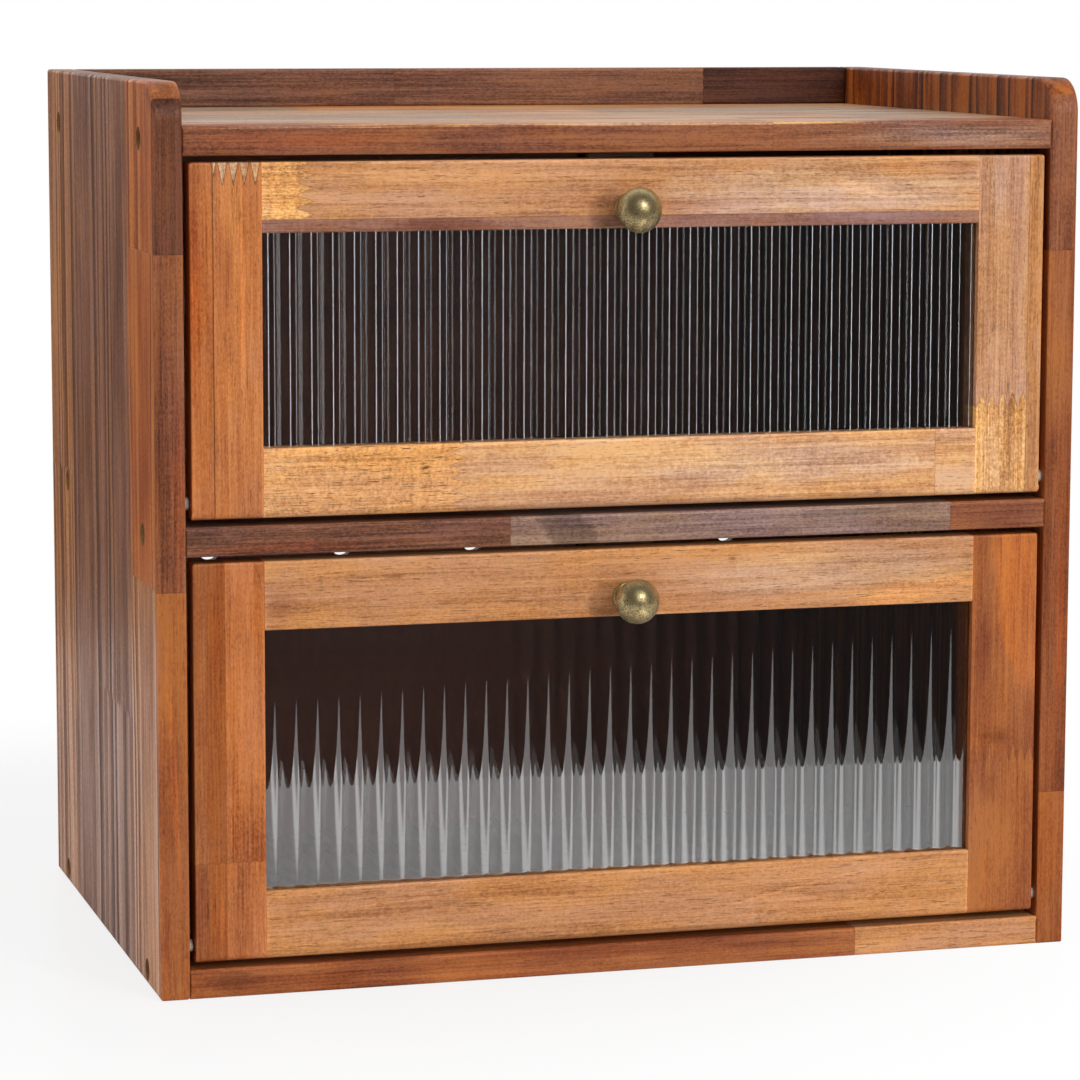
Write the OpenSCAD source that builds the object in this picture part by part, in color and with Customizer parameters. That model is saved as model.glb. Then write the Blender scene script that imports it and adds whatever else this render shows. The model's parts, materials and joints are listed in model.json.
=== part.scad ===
// Two-tier countertop bread box: a stained pine case with a gallery round its top
// board and two glazed doors that drop open on pivots at their bottom corners.
// Millimetres. X runs to the right, Y to the back, Z up. The origin is the centre
// of the case's footprint on the surface it stands on. Doors are drawn closed.

/* [Case] */
// Width over both side panels
body_w = 390; // [325:1:470]
// Depth of the side panels, without the knobs
body_d = 260; // [216:1:315]
// Thickness of the case boards
board_t = 12; // [10:0.1:15]
// Clear height of the upper compartment
upper_h = 146.6; // [120:0.1:180]
// Clear height of the lower compartment
lower_h = 167.4; // [138:0.1:205]
// Height that the sides and the back rail stand above the top board
gallery_h = 17; // [14:0.5:22]
// Radius of the side panels' top front corners
corner_r = 14.5; // [6:0.5:18]
// Rounding of the front edges of the three boards
board_edge_r = 1.5; // [0.5:0.25:3]

/* [Back] */
// Thickness of the back panel
back_t = 5; // [4:0.25:6.5]
// From the rear edges of the case to the front face of the back panel
back_setback = 12; // [9:0.5:16]
// Depth of the grooves that hold the back panel
back_groove = 3; // [2:0.25:4]
// Diameter of a vent hole
vent_d = 10; // [6:0.5:14]
// Vent holes in a row
vent_count = 5; // [1:1:5]
// Spacing of the vent holes
vent_pitch = 62.5; // [20:0.5:75]
// From the board above a compartment down to its row of vents
vent_drop = 32; // [14:1:60]

/* [Case screws and dowels] */
// Diameter of the counterbores in the side panels
counterbore_d = 9.5; // [8.5:0.5:11]
// Depth of the counterbores
counterbore_depth = 6; // [4:0.5:7]
// Diameter of the case screws
screw_d = 4; // [3:0.5:5]
// Length of the case screws under the head
screw_l = 40; // [25:1:50]
// Diameter of the case screws' heads
screw_head_d = 8; // [6.5:0.5:8]
// Height of the case screws' heads
screw_head_h = 2.5; // [2:0.1:3]
// From the front and rear edge of a board to its screws
screw_inset = 30.5; // [20:0.5:45]
// Diameter of the dowels
dowel_d = 6; // [4:0.5:6.5]
// Length of the dowels under the back rail
rail_dowel_l = 14; // [10:0.5:16]
// How deep those dowels sit in the top board
rail_dowel_sink = 6; // [4:0.5:7]
// From the middle of the back rail to its outer dowels
rail_dowel_x = 130; // [60:1:145]

/* [Doors] */
// Thickness of the door frames
door_t = 12; // [10:0.1:14.4]
// Gap between a door and each side panel
door_side_gap = 2.5; // [2:0.1:3.5]
// Gap above a door
door_top_gap = 2.5; // [1.5:0.1:3.5]
// Gap below a door
door_bottom_gap = 2.6; // [2.5:0.1:4]
// How far a door's face lies behind the front edges of the case
door_recess = 0.5; // [0:0.1:1.5]
// Width of the stiles
stile_w = 29; // [24:0.5:35]
// Height of the rails
rail_h = 28; // [26:0.1:34]
// Rounding of a door's bottom edges
door_edge_r = 3; // [2:0.25:4]
// Length of the corner dowels
door_dowel_l = 24; // [18:1:28]
// From a door's top or bottom edge to the outer of the two dowels in a corner
dowel_edge = 8; // [7:0.5:9]
// Spacing of the two dowels in a corner
dowel_pitch = 10; // [8:0.5:11]

/* [Panes] */
// Thickness of a pane without its ribs
pane_t = 2.4; // [2:0.1:3]
// Height of the ribs
rib_h = 0.9; // [0.5:0.1:1.2]
// Spacing of the ribs
rib_pitch = 8.8; // [6:0.1:12]
// From a door's face to the groove of its pane
pane_setback = 3.4; // [2.5:0.1:4]
// Depth of the groove round a window
pane_groove = 5; // [3:0.25:6]
// How far the pane reaches into the groove
pane_overlap = 4; // [2.5:0.25:4.5]
// Play of the pane across its groove
pane_play = 0.3; // [0.2:0.05:0.5]

/* [Pivots] */
// From a door's bottom edge up to its pivot
pivot_up = 6.5; // [5:0.1:7]
// Diameter of the pivot pins
pin_d = 3; // [2:0.25:3.5]
// How deep a pin sits in its stile
pin_in_stile = 12; // [8:0.5:16]
// How deep a pin reaches into the hole of its bush's side panel
pin_in_side = 6.5; // [4:0.5:7]
// Outer diameter of the bushes
bush_d = 5; // [4:0.25:7]
// How deep a bush sits in its side panel
bush_sink = 8; // [6:0.5:9]
// How far a bush stands out of its side panel
bush_proud = 2; // [0.5:0.1:2]

/* [Knobs] */
// Diameter of the knob's head
knob_d = 18.4; // [14:0.2:24]
// From the door's face to the top of the head
knob_reach = 21; // [18:0.5:26]
// Height of the head's dome
knob_dome = 6.5; // [4:0.25:8]
// Height of the cone under the dome
knob_skirt = 3.8; // [2:0.1:5]
// Diameter of the knob's foot
knob_foot_d = 13; // [10:0.5:16]
// Height of the knob's foot
knob_foot_h = 1.8; // [1:0.1:3]
// Diameter of the knob's neck
knob_neck_d = 7.6; // [6.5:0.1:9]
// From a door's top edge down to its knob
knob_drop = 20; // [18:0.5:22]
// Diameter of the knob screws
knob_screw_d = 4; // [3:0.5:4.5]
// How deep a knob screw reaches into its knob
knob_screw_bite = 8; // [5:0.5:10]
// Diameter of the knob screws' heads
knob_screw_head_d = 8; // [6:0.5:8]
// Height of the knob screws' heads
knob_screw_head_h = 2.4; // [1.5:0.1:3]

/* [Catches] */
// Length of a catch along the door
catch_w = 30; // [28:1:36]
// Depth of a catch
catch_d = 13; // [11:0.5:16]
// Height of a catch
catch_h = 10; // [9:0.5:10.5]
// Rounding of a catch's upright edges
catch_corner_r = 2; // [1:0.25:3]
// Gap between a catch and its closed strike plate
catch_gap = 0.3; // [0.2:0.05:0.6]
// Length of the magnet
magnet_w = 12; // [8:0.5:13]
// Height of the magnet
magnet_h = 5; // [3:0.5:6]
// Depth of the magnet
magnet_d = 6; // [3:0.5:7]
// From the middle of a catch to its screws
catch_screw_x = 10.5; // [9.5:0.25:11]
// Length of a strike plate
strike_w = 46; // [44:1:56]
// Height of a strike plate
strike_h = 11; // [9:0.5:11]
// Thickness of a strike plate
strike_t = 1; // [0.6:0.1:1.5]
// From a door's top edge to its strike plate
strike_drop = 0.5; // [0.2:0.1:1]
// From the middle of a strike plate to its screws
strike_screw_x = 19; // [18.5:0.25:20]
// Diameter of the catch and strike screws
small_screw_d = 3; // [2:0.25:3]
// Diameter of their heads
small_head_d = 5.4; // [4.5:0.1:5.6]
// Height of their heads
small_head_h = 1.8; // [1.2:0.1:2.2]
// How deep the catch and strike screws bite into the wood
small_screw_bite = 8; // [5:0.5:9]

/* [Hidden] */
$fn = 64;
// play between a glued or driven piece and its hole, on the radius
fit = 0.05;
// room left at the blind end of a hole
end_room = 0.5;
// how far a cutter runs past a face
over = 1;
// play of the back panel in its grooves, on each face
back_play = 0.1;
// play of a screw's shank in a clearance hole, on the radius
shank_play = 0.25;
// length of a screw's point, in diameters
point_share = 0.8;
// width and depth of the cross in a screw's head, in head diameters and heights
cross_w = 0.16;
cross_l = 0.62;
cross_depth = 0.55;
// width of a screw's tip, in diameters
tip_share = 0.17;
// how far the catch screws' heads lie inside the catch
head_sink = 0.4;
// straight rim between the knob's dome and its skirt
knob_rim_h = 1;

inner_w = body_w - 2 * board_t;
front_y = -body_d / 2;
back_y = body_d / 2;
shelf_z = board_t + lower_h;
top_z = shelf_z + board_t + upper_h;
deck_z = top_z + board_t;
body_h = deck_z + gallery_h;
panel_y = back_y - back_setback;
shelf_d = body_d - back_setback;
slot_t = back_t + 2 * back_play;
rail_y = back_y - board_t / 2;

// the three boards as [bottom, depth], from the lowest up
BOARDS = [[0, body_d], [shelf_z, shelf_d], [top_z, body_d]];

door_w = inner_w - 2 * door_side_gap;
door_y = front_y + door_recess;
door_back_y = door_y + door_t;
pivot_y = door_y + door_t / 2;
rail_l = door_w - 2 * stile_w;
groove_t = pane_t + rib_h + pane_play;

// a door over its compartment's floor, as [bottom, height, underside of the board above]
function door_over(floor_z, clear_h) =
    [floor_z + door_bottom_gap, clear_h - door_bottom_gap - door_top_gap, floor_z + clear_h];
UPPER = door_over(shelf_z + board_t, upper_h);
LOWER = door_over(board_t, lower_h);
DOORS = [UPPER, LOWER];

case_colour = "#7a4427";
door_colour = "#b0693a";
panel_colour = "#8f5a36";
dowel_colour = "#d9b98a";
pane_colour = "#9fb0b3";
brass_colour = "#8d7a4a";
steel_colour = "#b9bcc0";
nylon_colour = "#f2f0ea";
plastic_colour = "#5b4638";
magnet_colour = "#3c3c40";

// ---- shared shapes ----

// Runs an outline drawn in Y and Z along X, from x0 over a length l
module along_x(x0, l) {
    translate([x0, 0, 0]) rotate([90, 0, 90]) linear_extrude(l) children();
}

// A round bar or cutter from a point along X; dir is 1 or -1
module bar_x(p, r, l, dir = 1) {
    translate(p) rotate([0, 90 * dir, 0]) cylinder(r = r, h = l);
}

// A round bar or cutter from a point towards the back
module bar_y(p, r, l) {
    translate(p) rotate([-90, 0, 0]) cylinder(r = r, h = l);
}

// A screw that points up: head below z = 0, shank and point above it
module screw(d, l, head_d, head_h) {
    point_l = d * point_share;
    difference() {
        union() {
            translate([0, 0, -head_h]) cylinder(d = head_d, h = head_h);
            cylinder(d = d, h = l - point_l);
            translate([0, 0, l - point_l]) cylinder(d1 = d, d2 = d * tip_share, h = point_l);
        }
        for (turn = [0, 90])
            rotate([0, 0, turn])
                translate([-head_d * cross_l / 2, -head_d * cross_w / 2, -head_h - over])
                    cube([head_d * cross_l, head_d * cross_w, head_h * cross_depth + over]);
    }
}

// ---- case ----

// Draws its children for the left of the case, or mirrored for the right
module on_side(side) {
    if (side < 0) children();
    else mirror([1, 0, 0]) children();
}

// Where the two case screws of a board lie, from front to back
function screw_ys(depth) = [front_y + screw_inset, front_y + depth - screw_inset];

// Outline of a side panel with its rounded top front corner
module side_outline() {
    translate([front_y, 0]) square([body_d, body_h - corner_r]);
    translate([front_y + corner_r, 0]) square([body_d - corner_r, body_h]);
    translate([front_y + corner_r, body_h - corner_r]) circle(r = corner_r);
}

module side_panel(side) {
    on_side(side) difference() {
        along_x(-body_w / 2, board_t) side_outline();
        for (b = BOARDS, y = screw_ys(b[1])) {
            bar_x([-body_w / 2 - over, y, b[0] + board_t / 2],
                  counterbore_d / 2, counterbore_depth + over);
            bar_x([-body_w / 2, y, b[0] + board_t / 2],
                  screw_d / 2 + shank_play, board_t + over);
        }
        for (d = DOORS)
            bar_x([-inner_w / 2 - bush_sink, pivot_y, d[0] + pivot_up],
                  bush_d / 2 + fit, bush_sink + over);
        translate([-inner_w / 2 - back_groove, panel_y - back_play, board_t - back_groove])
            cube([back_groove + over, slot_t, top_z - board_t + 2 * back_groove]);
    }
}

// Section of a board, with its front edges rounded
module board_outline(z0, depth) {
    r = board_edge_r;
    translate([front_y + r, z0]) square([depth - r, board_t]);
    translate([front_y, z0 + r]) square([depth, board_t - 2 * r]);
    for (z = [z0 + r, z0 + board_t - r]) translate([front_y + r, z]) circle(r = r);
}

// A board between the sides, with the pilot holes of its four screws
module case_board(b) {
    hole_l = screw_l - (board_t - counterbore_depth) + end_room;
    difference() {
        along_x(-inner_w / 2, inner_w) board_outline(b[0], b[1]);
        for (side = [-1, 1], y = screw_ys(b[1]))
            bar_x([side * (inner_w / 2 + over), y, b[0] + board_t / 2],
                  screw_d / 2 + fit, hole_l + over, -side);
    }
}

// The groove that takes the back panel along a board
module panel_slot(z0) {
    translate([-inner_w / 2 - over, panel_y - back_play, z0])
        cube([inner_w + 2 * over, slot_t, back_groove + over]);
}

// Pilot holes of the two screws of a catch, in the board above it
module catch_pilots(d) {
    for (side = [-1, 1])
        translate([side * catch_screw_x, catch_mid_y, d[2] - over])
            cylinder(d = small_screw_d + 2 * fit, h = small_screw_bite + end_room + over);
}

module top_board() {
    color(case_colour) difference() {
        case_board(BOARDS[2]);
        panel_slot(top_z - over);
        catch_pilots(UPPER);
        for (x = [-1, 0, 1] * rail_dowel_x)
            translate([x, rail_y, deck_z - rail_dowel_sink - end_room / 2])
                cylinder(d = dowel_d + 2 * fit, h = rail_dowel_sink + end_room);
    }
}

module middle_shelf() {
    color(case_colour) difference() {
        case_board(BOARDS[1]);
        catch_pilots(LOWER);
    }
}

module bottom_board() {
    color(case_colour) difference() {
        case_board(BOARDS[0]);
        panel_slot(board_t - back_groove);
    }
}

module back_panel() {
    reach = back_groove - back_play;
    color(panel_colour) difference() {
        translate([-inner_w / 2 - reach, panel_y, board_t - reach])
            cube([inner_w + 2 * reach, back_t, top_z - board_t + 2 * reach]);
        for (d = DOORS, i = [0 : vent_count - 1])
            bar_y([(i - (vent_count - 1) / 2) * vent_pitch, panel_y - over, d[2] - vent_drop],
                  vent_d / 2, back_t + 2 * over);
    }
}

module back_rail() {
    color(case_colour) difference() {
        translate([-inner_w / 2, back_y - board_t, deck_z])
            cube([inner_w, board_t, gallery_h]);
        for (x = [-1, 0, 1] * rail_dowel_x)
            translate([x, rail_y, deck_z - over])
                cylinder(d = dowel_d + 2 * fit,
                         h = rail_dowel_l - rail_dowel_sink + end_room / 2 + over);
    }
}

module back_rail_dowels() {
    color(dowel_colour) for (x = [-1, 0, 1] * rail_dowel_x)
        translate([x, rail_y, deck_z - rail_dowel_sink]) cylinder(d = dowel_d, h = rail_dowel_l);
}

module side_screws(side) {
    color(steel_colour) on_side(side) for (b = BOARDS, y = screw_ys(b[1]))
        translate([-body_w / 2 + counterbore_depth, y, b[0] + board_t / 2])
            rotate([0, 90, 0]) screw(screw_d, screw_l, screw_head_d, screw_head_h);
}

// ---- magnetic catches, under the top board and under the middle shelf ----

catch_y = door_back_y + strike_t + catch_gap;
catch_mid_y = catch_y + catch_d / 2;
// seat of the screw heads above the catch's underside
catch_seat = small_head_h + head_sink;

module catch_body(d) {
    r = catch_corner_r;
    color(plastic_colour) difference() {
        translate([0, 0, d[2] - catch_h]) linear_extrude(catch_h) {
            translate([-catch_w / 2 + r, catch_y]) square([catch_w - 2 * r, catch_d]);
            translate([-catch_w / 2, catch_y + r]) square([catch_w, catch_d - 2 * r]);
            for (x = [-1, 1] * (catch_w / 2 - r), y = [r, catch_d - r])
                translate([x, catch_y + y]) circle(r = r);
        }
        translate([-magnet_w / 2 - fit, catch_y - over, magnet_z(d) - fit])
            cube([magnet_w + 2 * fit, magnet_d + fit + over, magnet_h + 2 * fit]);
        for (side = [-1, 1]) translate([side * catch_screw_x, catch_mid_y, d[2]]) {
            translate([0, 0, -catch_h - over])
                cylinder(d = small_head_d + 2 * shank_play, h = catch_seat + over);
            translate([0, 0, -catch_h]) cylinder(d = small_screw_d + 2 * fit, h = catch_h + over);
        }
    }
}

// Underside of the magnet, level with the middle of the catch's height
function magnet_z(d) = d[2] - catch_h / 2 - magnet_h / 2;

module catch_magnet(d) {
    color(magnet_colour) translate([-magnet_w / 2, catch_y, magnet_z(d)])
        cube([magnet_w, magnet_d, magnet_h]);
}

module catch_screws(d) {
    color(steel_colour) for (side = [-1, 1])
        translate([side * catch_screw_x, catch_mid_y, d[2] - catch_h + catch_seat])
            screw(small_screw_d, catch_h - catch_seat + small_screw_bite,
                  small_head_d, small_head_h);
}

// ---- pivots ----

module bush(d, side) {
    color(nylon_colour) on_side(side) difference() {
        bar_x([-inner_w / 2 - bush_sink, pivot_y, d[0] + pivot_up],
              bush_d / 2, bush_sink + bush_proud);
        bar_x([-inner_w / 2 - bush_sink - over, pivot_y, d[0] + pivot_up],
              pin_d / 2 + fit, bush_sink + bush_proud + 2 * over);
    }
}

module pin(d, side) {
    color(steel_colour) on_side(side)
        bar_x([-inner_w / 2 - pin_in_side, pivot_y, d[0] + pivot_up],
              pin_d / 2, pin_in_side + door_side_gap + pin_in_stile);
}

// ---- doors ----

// Section of a door piece from z0 up over a height h; its bottom edges are rounded
module door_outline(z0, h, r) {
    translate([door_y, z0 + r]) square([door_t, h - r]);
    translate([door_y + r, z0]) square([door_t - 2 * r, h]);
    for (y = [r, door_t - r]) translate([door_y + y, z0 + r]) circle(r = r);
}

// Holes of the eight corner dowels
module dowel_holes(d) {
    for (side = [-1, 1], z = dowel_zs(d))
        bar_x([side * (rail_l / 2 - door_dowel_l / 2 - end_room), pivot_y, z],
              dowel_d / 2 + fit, door_dowel_l + 2 * end_room, side);
}

function dowel_zs(d) =
    [d[0] + dowel_edge, d[0] + dowel_edge + dowel_pitch,
     d[0] + d[1] - dowel_edge, d[0] + d[1] - dowel_edge - dowel_pitch];

// The groove round the window, as one block that the pane's edge runs in
module pane_slot(d) {
    translate([-rail_l / 2 - pane_groove, door_y + pane_setback, d[0] + rail_h - pane_groove])
        cube([rail_l + 2 * pane_groove, groove_t, d[1] - 2 * (rail_h - pane_groove)]);
}

module stile(d, side) {
    color(door_colour) on_side(side) difference() {
        along_x(-door_w / 2, stile_w) door_outline(d[0], d[1], door_edge_r);
        pane_slot(d);
        dowel_holes(d);
        bar_x([-door_w / 2 - over, pivot_y, d[0] + pivot_up],
              pin_d / 2 + fit, pin_in_stile + end_room + over);
    }
}

module bottom_rail(d) {
    color(door_colour) difference() {
        along_x(-rail_l / 2, rail_l) door_outline(d[0], rail_h, door_edge_r);
        pane_slot(d);
        dowel_holes(d);
    }
}

module top_rail(d) {
    strike_mid_z = d[0] + d[1] - strike_drop - strike_h / 2;
    color(door_colour) difference() {
        translate([-rail_l / 2, door_y, d[0] + d[1] - rail_h]) cube([rail_l, door_t, rail_h]);
        pane_slot(d);
        dowel_holes(d);
        bar_y([0, door_y - over, d[0] + d[1] - knob_drop],
              knob_screw_d / 2 + shank_play, door_t + 2 * over);
        for (x = [-1, 1] * strike_screw_x)
            bar_y([x, door_back_y - small_screw_bite - end_room, strike_mid_z],
                  small_screw_d / 2 + fit, small_screw_bite + end_room + over);
    }
}

module door_dowels(d) {
    color(dowel_colour) for (side = [-1, 1], z = dowel_zs(d))
        bar_x([side * (rail_l / 2 - door_dowel_l / 2), pivot_y, z],
              dowel_d / 2, door_dowel_l, side);
}

// A reeded sheet: a flat back and a row of round ribs over its whole front
module pane(d) {
    w = rail_l + 2 * pane_overlap;
    h = d[1] - 2 * (rail_h - pane_overlap);
    ribs = floor(w / rib_pitch);
    rib_r = (pow(rib_pitch / 2, 2) + pow(rib_h, 2)) / (2 * rib_h);
    front = door_y + pane_setback + pane_play / 2 + rib_h;
    color(pane_colour) translate([0, 0, d[0] + rail_h - pane_overlap]) linear_extrude(h) {
        translate([-w / 2, front]) square([w, pane_t]);
        for (i = [0 : ribs - 1]) translate([(i - (ribs - 1) / 2) * rib_pitch, front])
            intersection() {
                translate([0, rib_r - rib_h]) circle(r = rib_r);
                translate([-rib_pitch / 2, -rib_h]) square([rib_pitch, rib_h + pane_t / 2]);
            }
    }
}

// Half outline of a knob: foot, neck and domed head, from the door outwards
module knob_outline() {
    head_z = knob_reach - knob_dome;
    skirt_z = head_z - knob_skirt;
    dome_r = (pow(knob_d / 2, 2) + pow(knob_dome, 2)) / (2 * knob_dome);
    square([knob_foot_d / 2, knob_foot_h]);
    square([knob_neck_d / 2, head_z]);
    polygon([[0, skirt_z], [knob_neck_d / 2, skirt_z],
             [knob_d / 2, head_z - knob_rim_h], [knob_d / 2, head_z], [0, head_z]]);
    intersection() {
        translate([0, knob_reach - dome_r]) circle(r = dome_r);
        translate([0, head_z]) square([knob_d / 2, knob_dome]);
    }
}

module knob(d) {
    color(brass_colour) translate([0, door_y, d[0] + d[1] - knob_drop]) rotate([90, 0, 0])
        difference() {
            rotate_extrude() knob_outline();
            translate([0, 0, -over])
                cylinder(d = knob_screw_d + 2 * fit, h = knob_screw_bite + end_room + over);
        }
}

module knob_screw(d) {
    color(steel_colour) translate([0, door_back_y, d[0] + d[1] - knob_drop])
        rotate([90, 0, 0])
            screw(knob_screw_d, door_t + knob_screw_bite, knob_screw_head_d, knob_screw_head_h);
}

module strike_plate(d) {
    z0 = d[0] + d[1] - strike_drop - strike_h;
    color(steel_colour) difference() {
        translate([-strike_w / 2, door_back_y, z0]) cube([strike_w, strike_t, strike_h]);
        for (x = [-1, 1] * strike_screw_x)
            bar_y([x, door_back_y - over, z0 + strike_h / 2],
                  small_screw_d / 2 + fit, strike_t + 2 * over);
    }
}

module strike_screws(d) {
    color(steel_colour) for (x = [-1, 1] * strike_screw_x)
        translate([x, door_back_y + strike_t, d[0] + d[1] - strike_drop - strike_h / 2])
            rotate([90, 0, 0])
                screw(small_screw_d, strike_t + small_screw_bite, small_head_d, small_head_h);
}

// ---- nodes ----

color(case_colour) side_panel(-1);  // left_side_panel
color(case_colour) side_panel(1);  // right_side_panel
top_board();
middle_shelf();
bottom_board();
back_panel();
back_rail();
back_rail_dowels();
side_screws(-1);  // left_side_screws
side_screws(1);  // right_side_screws

catch_body(UPPER);  // upper_catch_body
catch_magnet(UPPER);  // upper_catch_magnet
catch_screws(UPPER);  // upper_catch_screws
catch_body(LOWER);  // lower_catch_body
catch_magnet(LOWER);  // lower_catch_magnet
catch_screws(LOWER);  // lower_catch_screws
bush(UPPER, -1);  // upper_left_bush
bush(UPPER, 1);  // upper_right_bush
bush(LOWER, -1);  // lower_left_bush
bush(LOWER, 1);  // lower_right_bush

stile(UPPER, -1);  // upper_left_stile
stile(UPPER, 1);  // upper_right_stile
top_rail(UPPER);  // upper_top_rail
bottom_rail(UPPER);  // upper_bottom_rail
door_dowels(UPPER);  // upper_door_dowels
pane(UPPER);  // upper_pane
knob(UPPER);  // upper_knob
knob_screw(UPPER);  // upper_knob_screw
strike_plate(UPPER);  // upper_strike_plate
strike_screws(UPPER);  // upper_strike_screws
pin(UPPER, -1);  // upper_left_pin
pin(UPPER, 1);  // upper_right_pin

stile(LOWER, -1);  // lower_left_stile
stile(LOWER, 1);  // lower_right_stile
top_rail(LOWER);  // lower_top_rail
bottom_rail(LOWER);  // lower_bottom_rail
door_dowels(LOWER);  // lower_door_dowels
pane(LOWER);  // lower_pane
knob(LOWER);  // lower_knob
knob_screw(LOWER);  // lower_knob_screw
strike_plate(LOWER);  // lower_strike_plate
strike_screws(LOWER);  // lower_strike_screws
pin(LOWER, -1);  // lower_left_pin
pin(LOWER, 1);  // lower_right_pin
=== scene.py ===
# %% [markdown]
# # A two-tier bread box in stained pine
# The box stands on a counter: a case of laminated pine boards, a low gallery round its
# top, and two doors with reeded panes that drop open on pins at their bottom corners.
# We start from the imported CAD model, which is the frame: every board is already where
# it belongs, in metres. Our work is the looks: softened edges, wood grain, brass, glass,
# light. Each piece that we make stands exactly where its CAD node stands.

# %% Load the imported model
import json

import bmesh
import bpy
import numpy as np
from mathutils import Matrix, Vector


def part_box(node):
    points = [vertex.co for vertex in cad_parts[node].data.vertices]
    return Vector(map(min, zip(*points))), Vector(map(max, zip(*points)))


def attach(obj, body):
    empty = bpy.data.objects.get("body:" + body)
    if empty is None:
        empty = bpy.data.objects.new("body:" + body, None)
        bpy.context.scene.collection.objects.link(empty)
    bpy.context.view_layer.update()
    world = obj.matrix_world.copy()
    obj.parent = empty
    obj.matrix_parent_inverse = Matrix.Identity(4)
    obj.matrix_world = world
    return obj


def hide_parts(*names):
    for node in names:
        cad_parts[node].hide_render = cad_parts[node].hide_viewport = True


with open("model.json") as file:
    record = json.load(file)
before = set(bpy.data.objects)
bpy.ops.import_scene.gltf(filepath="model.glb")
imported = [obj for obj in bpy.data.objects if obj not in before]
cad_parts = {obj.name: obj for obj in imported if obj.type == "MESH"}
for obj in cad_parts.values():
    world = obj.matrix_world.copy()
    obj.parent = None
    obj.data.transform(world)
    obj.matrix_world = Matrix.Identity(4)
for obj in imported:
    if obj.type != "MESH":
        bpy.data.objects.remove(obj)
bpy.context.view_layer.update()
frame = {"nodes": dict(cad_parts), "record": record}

NODES = frame["nodes"]
BODY_OF = {n: b for b, ns in frame["record"]["behaviour"]["bodies"].items() for n in ns}
MM = 0.001

# %% [markdown]
# ## The camera
# A product photograph of furniture is taken from far away with a long lens, so that the
# upright edges stay nearly parallel. The camera stands 1.7 m in front of the box, a
# little to the left and just above its top, and looks down by 8 degrees. We give its
# place and its direction, and build the rotation from three arrows: right, up and back.

# %% Place the camera
scene = bpy.context.scene
CAMERA_AT = np.array([-0.479476, -1.685856, 0.402041])
CAMERA_YAW, CAMERA_PITCH, CAMERA_ROLL = np.radians([-15.86, -7.76, 0.13])
CAMERA_LENS = 134.09


def camera_axes(yaw, pitch, roll):
    """Right, up and backward arrows. Forward is (-sin yaw cos pitch, cos yaw cos pitch,
    sin pitch); right is forward x Z; up is right x forward; both then turn by roll."""
    ahead = np.array([-np.sin(yaw) * np.cos(pitch), np.cos(yaw) * np.cos(pitch), np.sin(pitch)])
    right = np.cross(ahead, [0, 0, 1])
    right /= np.linalg.norm(right)
    up = np.cross(right, ahead)
    turned = right * np.cos(roll) + up * np.sin(roll)
    return turned, up * np.cos(roll) - right * np.sin(roll), -ahead


def put(name, data):
    """Adds an object to the scene."""
    made = bpy.data.objects.new(name, data)
    scene.collection.objects.link(made)
    return made


def aim(made, right, up, back, spot):
    """Turns an object by its right, up and backward arrows, and moves it to its spot."""
    turn = np.eye(4)
    turn[:3] = np.column_stack([right, up, back, spot])
    made.matrix_world = Matrix(turn.tolist())


lens = bpy.data.cameras.new("camera")
lens.lens, lens.sensor_width = CAMERA_LENS, 36
lens.clip_start, lens.clip_end = 0.05, 50
camera = put("camera", lens)
aim(camera, *camera_axes(CAMERA_YAW, CAMERA_PITCH, CAMERA_ROLL), CAMERA_AT)
scene.camera = camera
print("camera looks along", -np.array(camera.matrix_world)[:3, 2].round(3))

# %% [markdown]
# ## A bench for shader nodes
# A shader tree is a graph: each node takes numbers, colours or other nodes' outputs.
# Wiring it by hand takes three lines a node, so this small class adds a node, sets its
# properties and fills its inputs in one call. Everything below is built with it. An
# effect that several materials share becomes a group: a small tree with named inputs.

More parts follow.
